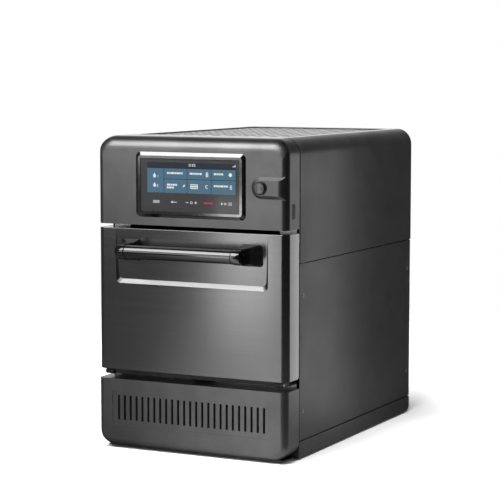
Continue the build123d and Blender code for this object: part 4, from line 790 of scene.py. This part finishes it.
def add_round(form, x, z, radius, y, kind, hole=0, start=0, sweep=360, steps=24):
    """Adds a disc, or a ring or an arc where there is a hole. Angles run from +X up."""
    for step in range(steps):
        corners = []
        for reach, part in ((hole, step), (radius, step), (radius, step + 1), (hole, step + 1)):
            angle = math.radians(start + sweep * part / steps)
            corners.append((x + reach * math.cos(angle), z + reach * math.sin(angle)))
        if hole == 0:
            corners = corners[:3]
        add_patch(form, corners, y, kind)


def add_words(form, left, right, z, height, y, kind, shares):
    """Adds a line of plain bars where the words of a label would stand."""
    gap = height * 0.28
    width = (right - left - gap * (len(shares) - 1)) / sum(shares)
    for share in shares:
        add_box(form, left, left + width * share, z - height / 2, z + height / 2, y, kind)
        left += width * share + gap


def add_number(form, text, left, low, height, y, kind):
    """Adds plain figures made of bars."""
    bars = {
        "a": (0, 1, 1, 1), "b": (1, 0.5, 1, 1), "c": (1, 0, 1, 0.5), "d": (0, 0, 1, 0),
        "e": (0, 0, 0, 0.5), "f": (0, 0.5, 0, 1), "g": (0, 0.5, 1, 0.5),
    }
    figures = {
        "0": "abcdef", "1": "bc", "2": "abged", "3": "abgcd", "4": "fgbc",
        "5": "afgcd", "6": "afgedc", "7": "abc", "8": "abcdefg", "9": "abcdfg",
    }
    width, thick = height * 0.5, height * 0.09
    for figure in text:
        if figure == ":":
            for share in (0.3, 0.7):
                add_round(form, left + thick, low + height * share, thick * 1.2, y, kind, steps=8)
            left += thick * 4
            continue
        for bar in figures[figure]:
            x0, z0, x1, z1 = bars[bar]
            add_box(
                form,
                left + width * x0 - thick,
                left + width * x1 + thick,
                low + height * z0 - thick,
                low + height * z1 + thick,
                y,
                kind,
            )
        left += width + thick * 5


def add_key_bar(form, left, right, half, kind):
    """Adds a bar whose middle lies on the key row. half is half of its height."""
    add_box(form, left, right, key_z - half, key_z + half, mark_y, kind)


screen_form = bmesh.new()
add_box(screen_form, screen_left, screen_right, screen_low, screen_high, screen_y, header)
for left, right in zip(tile_edges, tile_edges[1:]):
    rows = [(screen_low, tile_split - tile_gap / 2), (tile_split + tile_gap / 2, tile_high)]
    if left == tile_edges[0]:
        rows = [(screen_low, tile_high)]
    for low, high in rows:
        add_box(screen_form, left, right - tile_gap, low, high, tile_y, tile)

add_number(screen_form, "10:25", clock_left, clock_low, clock_height, mark_y, mark)
for step in range(3):
    left = signal_left + step * signal_pitch
    high = signal_first + step * signal_rise
    add_box(screen_form, left, left + signal_width, signal_low, high, mark_y, mark)
for drop_z, figure in zip(drop_heights, "12"):
    add_round(screen_form, drop_x, drop_z, drop_radius, mark_y, mark)
    shoulder_z = drop_z + drop_shoulder_z
    shoulders = [(drop_x - drop_shoulder_x, shoulder_z), (drop_x + drop_shoulder_x, shoulder_z)]
    add_patch(screen_form, shoulders + [(drop_x, drop_z + drop_tip)], mark_y, mark)
    figure_low = drop_z - figure_below
    add_number(screen_form, figure, drop_x + figure_right, figure_low, figure_height, mark_y, mark)
for left, right, z, shares in (
    (-47.7, -14.5, 531.6, (1.2, 1, 2.4, 1, 1.4, 1, 1)),
    (-47.9, -26.5, 509.8, (2, 1, 1.4, 1)),
    (-47.9, -33.3, 504.6, (1, 1.6, 1)),
    (0.4, 25.9, 531.4, (2, 1, 1.2, 1, 1.6)),
    (50.9, 70.4, 531.9, (1.6, 1, 1, 1.2)),
    (50.9, 80.1, 509.8, (1.2, 1, 1, 2, 1, 1.2)),
):
    add_words(screen_form, left * mm, right * mm, z * mm, letter_height, mark_y, mark, shares)
add_box(screen_form, card_left, card_right, card_low, card_high, mark_y, mark)
for z in card_line_heights:
    left, right = card_left + card_margin, card_right - card_margin
    add_words(screen_form, left, right, z, card_line_thick, card_line_y, tile, (1, 1.6, 1, 1.2))
add_round(screen_form, knob_x, knob_z, knob_radius, mark_y, mark, hole=knob_hole)
add_round(screen_form, knob_x, bulb_z, bulb_radius, mark_y, mark, hole=bulb_hole)
add_round(screen_form, moon_x, moon_z, moon_radius, mark_y, mark, moon_hole, start=60, sweep=240)
add_round(screen_form, disc_x, disc_z, disc_radius, mark_y, mark)
add_patch(screen_form, [(x * mm, z * mm) for x, z in leaf_outline], mark_y, mark)
for z in shelf_heights:
    add_box(screen_form, shelf_left, shelf_right, z, z + shelf_thick, mark_y, mark)

for row in (-1, 0, 1):
    z = key_z + row * menu_pitch
    add_box(screen_form, menu_left, menu_right, z - menu_half, z + menu_half, mark_y, white_key)
add_key_bar(screen_form, back_left, back_right, key_line, white_key)
back_ends = [(back_head, key_z - key_half), (back_head, key_z + key_half)]
add_patch(screen_form, [(back_tip, key_z)] + back_ends, mark_y, white_key)
add_key_bar(screen_form, minus_left, minus_right, key_line, white_key)
add_round(screen_form, dial_x, key_z, key_half, mark_y, white_key, hole=dial_hole)
add_key_bar(screen_form, plus_left, plus_right, key_line, white_key)
plus_middle = (plus_left + plus_right) / 2
add_key_bar(screen_form, plus_middle - key_line, plus_middle + key_line, plus_half, white_key)
add_key_bar(screen_form, stop_left, stop_right, stop_half, red_key)
for left in forward_lefts:
    low_end, high_end = (left, key_z - key_half), (left, key_z + key_half)
    add_patch(screen_form, [low_end, (left + forward_length, key_z), high_end], mark_y, white_key)
seconds_low = key_z - seconds_below
add_number(screen_form, "30", seconds_left, seconds_low, seconds_height, mark_y, white_key)
screen_finishes = [
    lit("lit_header", header_glow, 0.9),
    lit("lit_tile", tile_glow, 0.85),
    lit("lit_mark", mark_glow, 0.8),
    lit("key_white", key_white, 0.75),
    lit("key_red", key_red, 0.8),
]
make_piece("lit_screen", screen_form, screen_finishes, "oven")

# Power button
# A turned stainless push button with rings cut in its face and an on-off sign, in a dark ring
# that is screwed through the fascia's pad.
button_low, button_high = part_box("button_cap")
button_middle = (button_low + button_high) / 2
button_radius = (button_high.z - button_low.z) / 2
button_length = button_high.y - button_low.y
button_cap_depth = 7 * mm
button_stem_radius = 4 * mm
button_edge = 1 * mm
button_groove_radii = [7.9 * mm, 5.6 * mm]
button_groove_width = 1.2 * mm
button_groove_depth = 1.2 * mm
sign_radius = 2.6 * mm
sign_width = 0.55 * mm
ring_deep = (0.05, 0.05, 0.052)
ring_light = (0.08, 0.08, 0.082)
button_deep = (0.21, 0.21, 0.21)
button_tone = (0.24, 0.24, 0.24)
button_light = (0.26, 0.26, 0.26)
sign_deep = (0.002, 0.002, 0.002)
sign_tone = (0.004, 0.004, 0.004)
sign_light = (0.006, 0.006, 0.006)
ring_steel = rolled_steel("ring_steel", ring_deep, ring_light, 0.25, 0.35)
button_steel = new_finish("button_steel", button_tone, 1, 0.3)
vary_colour(button_steel, noise(button_steel, 90), button_deep, button_light)
vary_roughness(button_steel, noise(button_steel, 200), 0.28, 0.36)
sign_paint = new_finish("sign_paint", sign_tone, 0, 0.6)
vary_colour(sign_paint, noise(sign_paint, 900), sign_deep, sign_light)
dress("button_barrel", ring_steel)
button_profile = [
    (0, 0),
    (button_stem_radius, 0),
    (button_stem_radius, button_length - button_cap_depth),
    (button_radius, button_length - button_cap_depth),
    (button_radius, button_length - button_edge),
    (button_radius - button_edge, button_length),
]
for radius in button_groove_radii:
    button_profile += [
        (radius, button_length),
        (radius - button_groove_width * 0.2, button_length - button_groove_depth),
        (radius - button_groove_width * 0.8, button_length - button_groove_depth),
        (radius - button_groove_width, button_length),
    ]
button_profile += [(0, button_length)]
button_form = bmesh.new()
button_base = (button_middle.x, button_high.y, button_middle.z)
turn(button_form, button_profile, button_base, (0, -1, 0), 64)
turned_button = make_piece("turned_button", button_form, [button_steel], "power_button")
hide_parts("button_cap")
sign_form = bmesh.new()
sign_y = button_low.y - 0.04 * mm
sign_x, sign_z = button_middle.x, button_middle.z
add_round(
    sign_form,
    sign_x,
    sign_z,
    sign_radius + sign_width / 2,
    sign_y,
    0,
    hole=sign_radius - sign_width / 2,
    start=125,
    sweep=290,
    steps=40,
)
add_box(
    sign_form,
    sign_x - sign_width / 2,
    sign_x + sign_width / 2,
    sign_z + sign_radius * 0.2,
    sign_z + sign_radius * 1.35,
    sign_y,
    0,
)
make_piece("on_off_sign", sign_form, [sign_paint], "power_button")

# Studio
# Pale floor paper and a white backdrop, both dimmer where a glossy face mirrors them. In mirror
# images the paper is painted shade, with painted light in two strips and a round patch. Three soft
# lamps stand at the front left, one hangs overhead and one lines the right side's edge.
floor_radius = 1.9
floor_drop = 0.2 * mm
floor_tone = (0.86, 0.86, 0.86)
floor_painted_light = (0.34, 0.34, 0.34)
floor_painted_shade = (0.05, 0.05, 0.05)
floor_lift = 0.01
strip_edges = [((1, -0.53, 0), 0, 0.35), ((-1, 0.36, 0), -0.4, -0.25)]
patch_middle = (-0.4, 0.85, 0)
patch_edge = 0.55
patch_core = 0.3
sky_ambient = 0.3
sky_front = 0.1
sky_side = 0.02
sky_right = 0.12
sky_turn = -0.35
sky_fade_start = 0.4
sky_fade_end = 0.8
floor = bpy.data.objects.new("floor", bpy.data.meshes.new("floor"))
floor_form = bmesh.new()
bmesh.ops.create_circle(floor_form, cap_ends=True, segments=96, radius=floor_radius)
bmesh.ops.translate(floor_form, verts=floor_form.verts, vec=(0, 0, -floor_drop))
floor_form.to_mesh(floor.data)
floor_form.free()
bpy.context.scene.collection.objects.link(floor)
floor_paper = new_finish("floor_paper", floor_tone, 0, 0.9, shine=0.1)
floor.data.materials.append(floor_paper)
paper = floor_paper.node_tree
paper_shader = paper.nodes["Principled BSDF"]
paper_path = paper.nodes.new("ShaderNodeLightPath").outputs
paper_place = paper.nodes.new("ShaderNodeTexCoord").outputs["Object"]
paper_glow = paper.nodes.new("ShaderNodeEmission")
paper_sum = paper.nodes.new("ShaderNodeAddShader")
paper_lift = calculate(paper, "MULTIPLY", paper_path["Is Camera Ray"], floor_lift)
paper.links.new(paper_lift, paper_glow.inputs["Strength"])
paper.links.new(paper_shader.outputs["BSDF"], paper_sum.inputs[0])
paper.links.new(paper_glow.outputs["Emission"], paper_sum.inputs[1])
paper.links.new(paper_sum.outputs["Shader"], paper.nodes["Material Output"].inputs["Surface"])


def measure(operation, other):
    """How far a place on the paper lies along a direction, or from another place."""
    ruler = paper.nodes.new("ShaderNodeVectorMath")
    ruler.operation = operation
    ruler.inputs[1].default_value = other
    paper.links.new(paper_place, ruler.inputs[0])
    return ruler.outputs["Value"]


# Painted light and shade seen only in mirror images: the paper is dark there, but bright in two strips and
# a round patch.
strip = 1
for across, start, full in strip_edges:
    strip = calculate(paper, "MULTIPLY", spread(paper, measure("DOT_PRODUCT", across), start, full), strip)
patch = spread(paper, measure("DISTANCE", patch_middle), patch_edge, patch_core)
painted_light_share = calculate(paper, "MAXIMUM", strip, patch)
mirrored = mix(paper, painted_light_share, (*floor_painted_shade, 1), (*floor_painted_light, 1), "RGBA")
paper_tone = mix(paper, paper_path["Is Glossy Ray"], (*floor_tone, 1), mirrored, "RGBA")
paper.links.new(paper_tone, paper_shader.inputs["Base Color"])


def add_softbox(name, aim, azimuth, elevation, distance, width, height, power):
    """A soft rectangular lamp that looks at aim. Azimuth runs from the front to the right."""
    lamp = bpy.data.objects.new(name, bpy.data.lights.new(name, "AREA"))
    lamp.data.shape = "RECTANGLE"
    lamp.data.size = width
    lamp.data.size_y = height
    lamp.data.energy = power
    a, e = math.radians(azimuth), math.radians(elevation)
    away = Vector((math.sin(a) * math.cos(e), -math.cos(a) * math.cos(e), math.sin(e)))
    lamp.location = Vector(aim) + away * distance
    lamp.rotation_euler = away.to_track_quat("Z", "Y").to_euler()
    lamp.visible_camera = False
    bpy.context.scene.collection.objects.link(lamp)
    return lamp


oven_middle = (cad_box[0] + cad_box[1]) / 2
high_lamp = add_softbox(
    "high_softbox", oven_middle, azimuth=-26, elevation=41, distance=2.3, width=1.3, height=1.35, power=30
)
high_lamp.data.diffuse_factor = 0.25
add_softbox(
    "low_softbox",
    (0.1, -0.28, 0.24),
    azimuth=-26,
    elevation=0,
    distance=1.3,
    width=0.16,
    height=0.32,
    power=0.46,
)
add_softbox(
    "wide_softbox",
    (0, -0.28, 0.5),
    azimuth=-27.5,
    elevation=6,
    distance=1.35,
    width=0.8,
    height=0.3,
    power=1.4,
)
right_lamp = add_softbox(
    "right_softbox",
    (0.2, -0.19, 0.29),
    azimuth=155,
    elevation=0,
    distance=0.45,
    width=0.07,
    height=0.62,
    power=0.25,
)
right_lamp.data.diffuse_factor = 0
overhead_lamp = add_softbox(
    "overhead_softbox", (0, 0, 0), azimuth=-15, elevation=74, distance=2.6, width=1.7, height=1.7, power=200
)
overhead_lamp.visible_glossy = False

world = bpy.data.worlds.new("studio")
bpy.context.scene.world = world
world.use_nodes = True
sky = world.node_tree
backdrop = sky.nodes["Background"]
backdrop.inputs["Color"].default_value = (1, 1, 1, 1)
sky_axes = axes_of(sky, "Generated")
sky_path = sky.nodes.new("ShaderNodeLightPath").outputs
sky_behind = spread(sky, sky_axes["X"], 0, sky_turn, sky_right, 1)
sky_ahead = spread(sky, sky_axes["X"], 0, sky_turn, sky_side, sky_front)
sky_mirrored = spread(sky, sky_axes["Y"], sky_fade_start, sky_fade_end, sky_ahead, sky_behind)
sky_dimmed = mix(sky, sky_path["Is Glossy Ray"], sky_ambient, sky_mirrored)
sky_seen = calculate(sky, "MAXIMUM", sky_path["Is Camera Ray"], sky_path["Is Transmission Ray"])
sky.links.new(mix(sky, sky_seen, sky_dimmed, 1), backdrop.inputs["Strength"])

# Camera
# It stands to the right of the door's middle and a little above the top of the oven, and it has
# a long lens.
camera_place = (1.6374, -3.2891, 0.7321)
camera_tilt = 84.28
camera_turn = 26.68
film_width = 36
lens_length = 133.06
camera = bpy.data.objects.new("camera", bpy.data.cameras.new("camera"))
camera.location = camera_place
camera.rotation_euler = (math.radians(camera_tilt), 0, math.radians(camera_turn))
camera.data.sensor_width = film_width
camera.data.lens = lens_length
bpy.context.scene.collection.objects.link(camera)
bpy.context.scene.camera = camera
bpy.context.scene.view_settings.view_transform = "Standard"
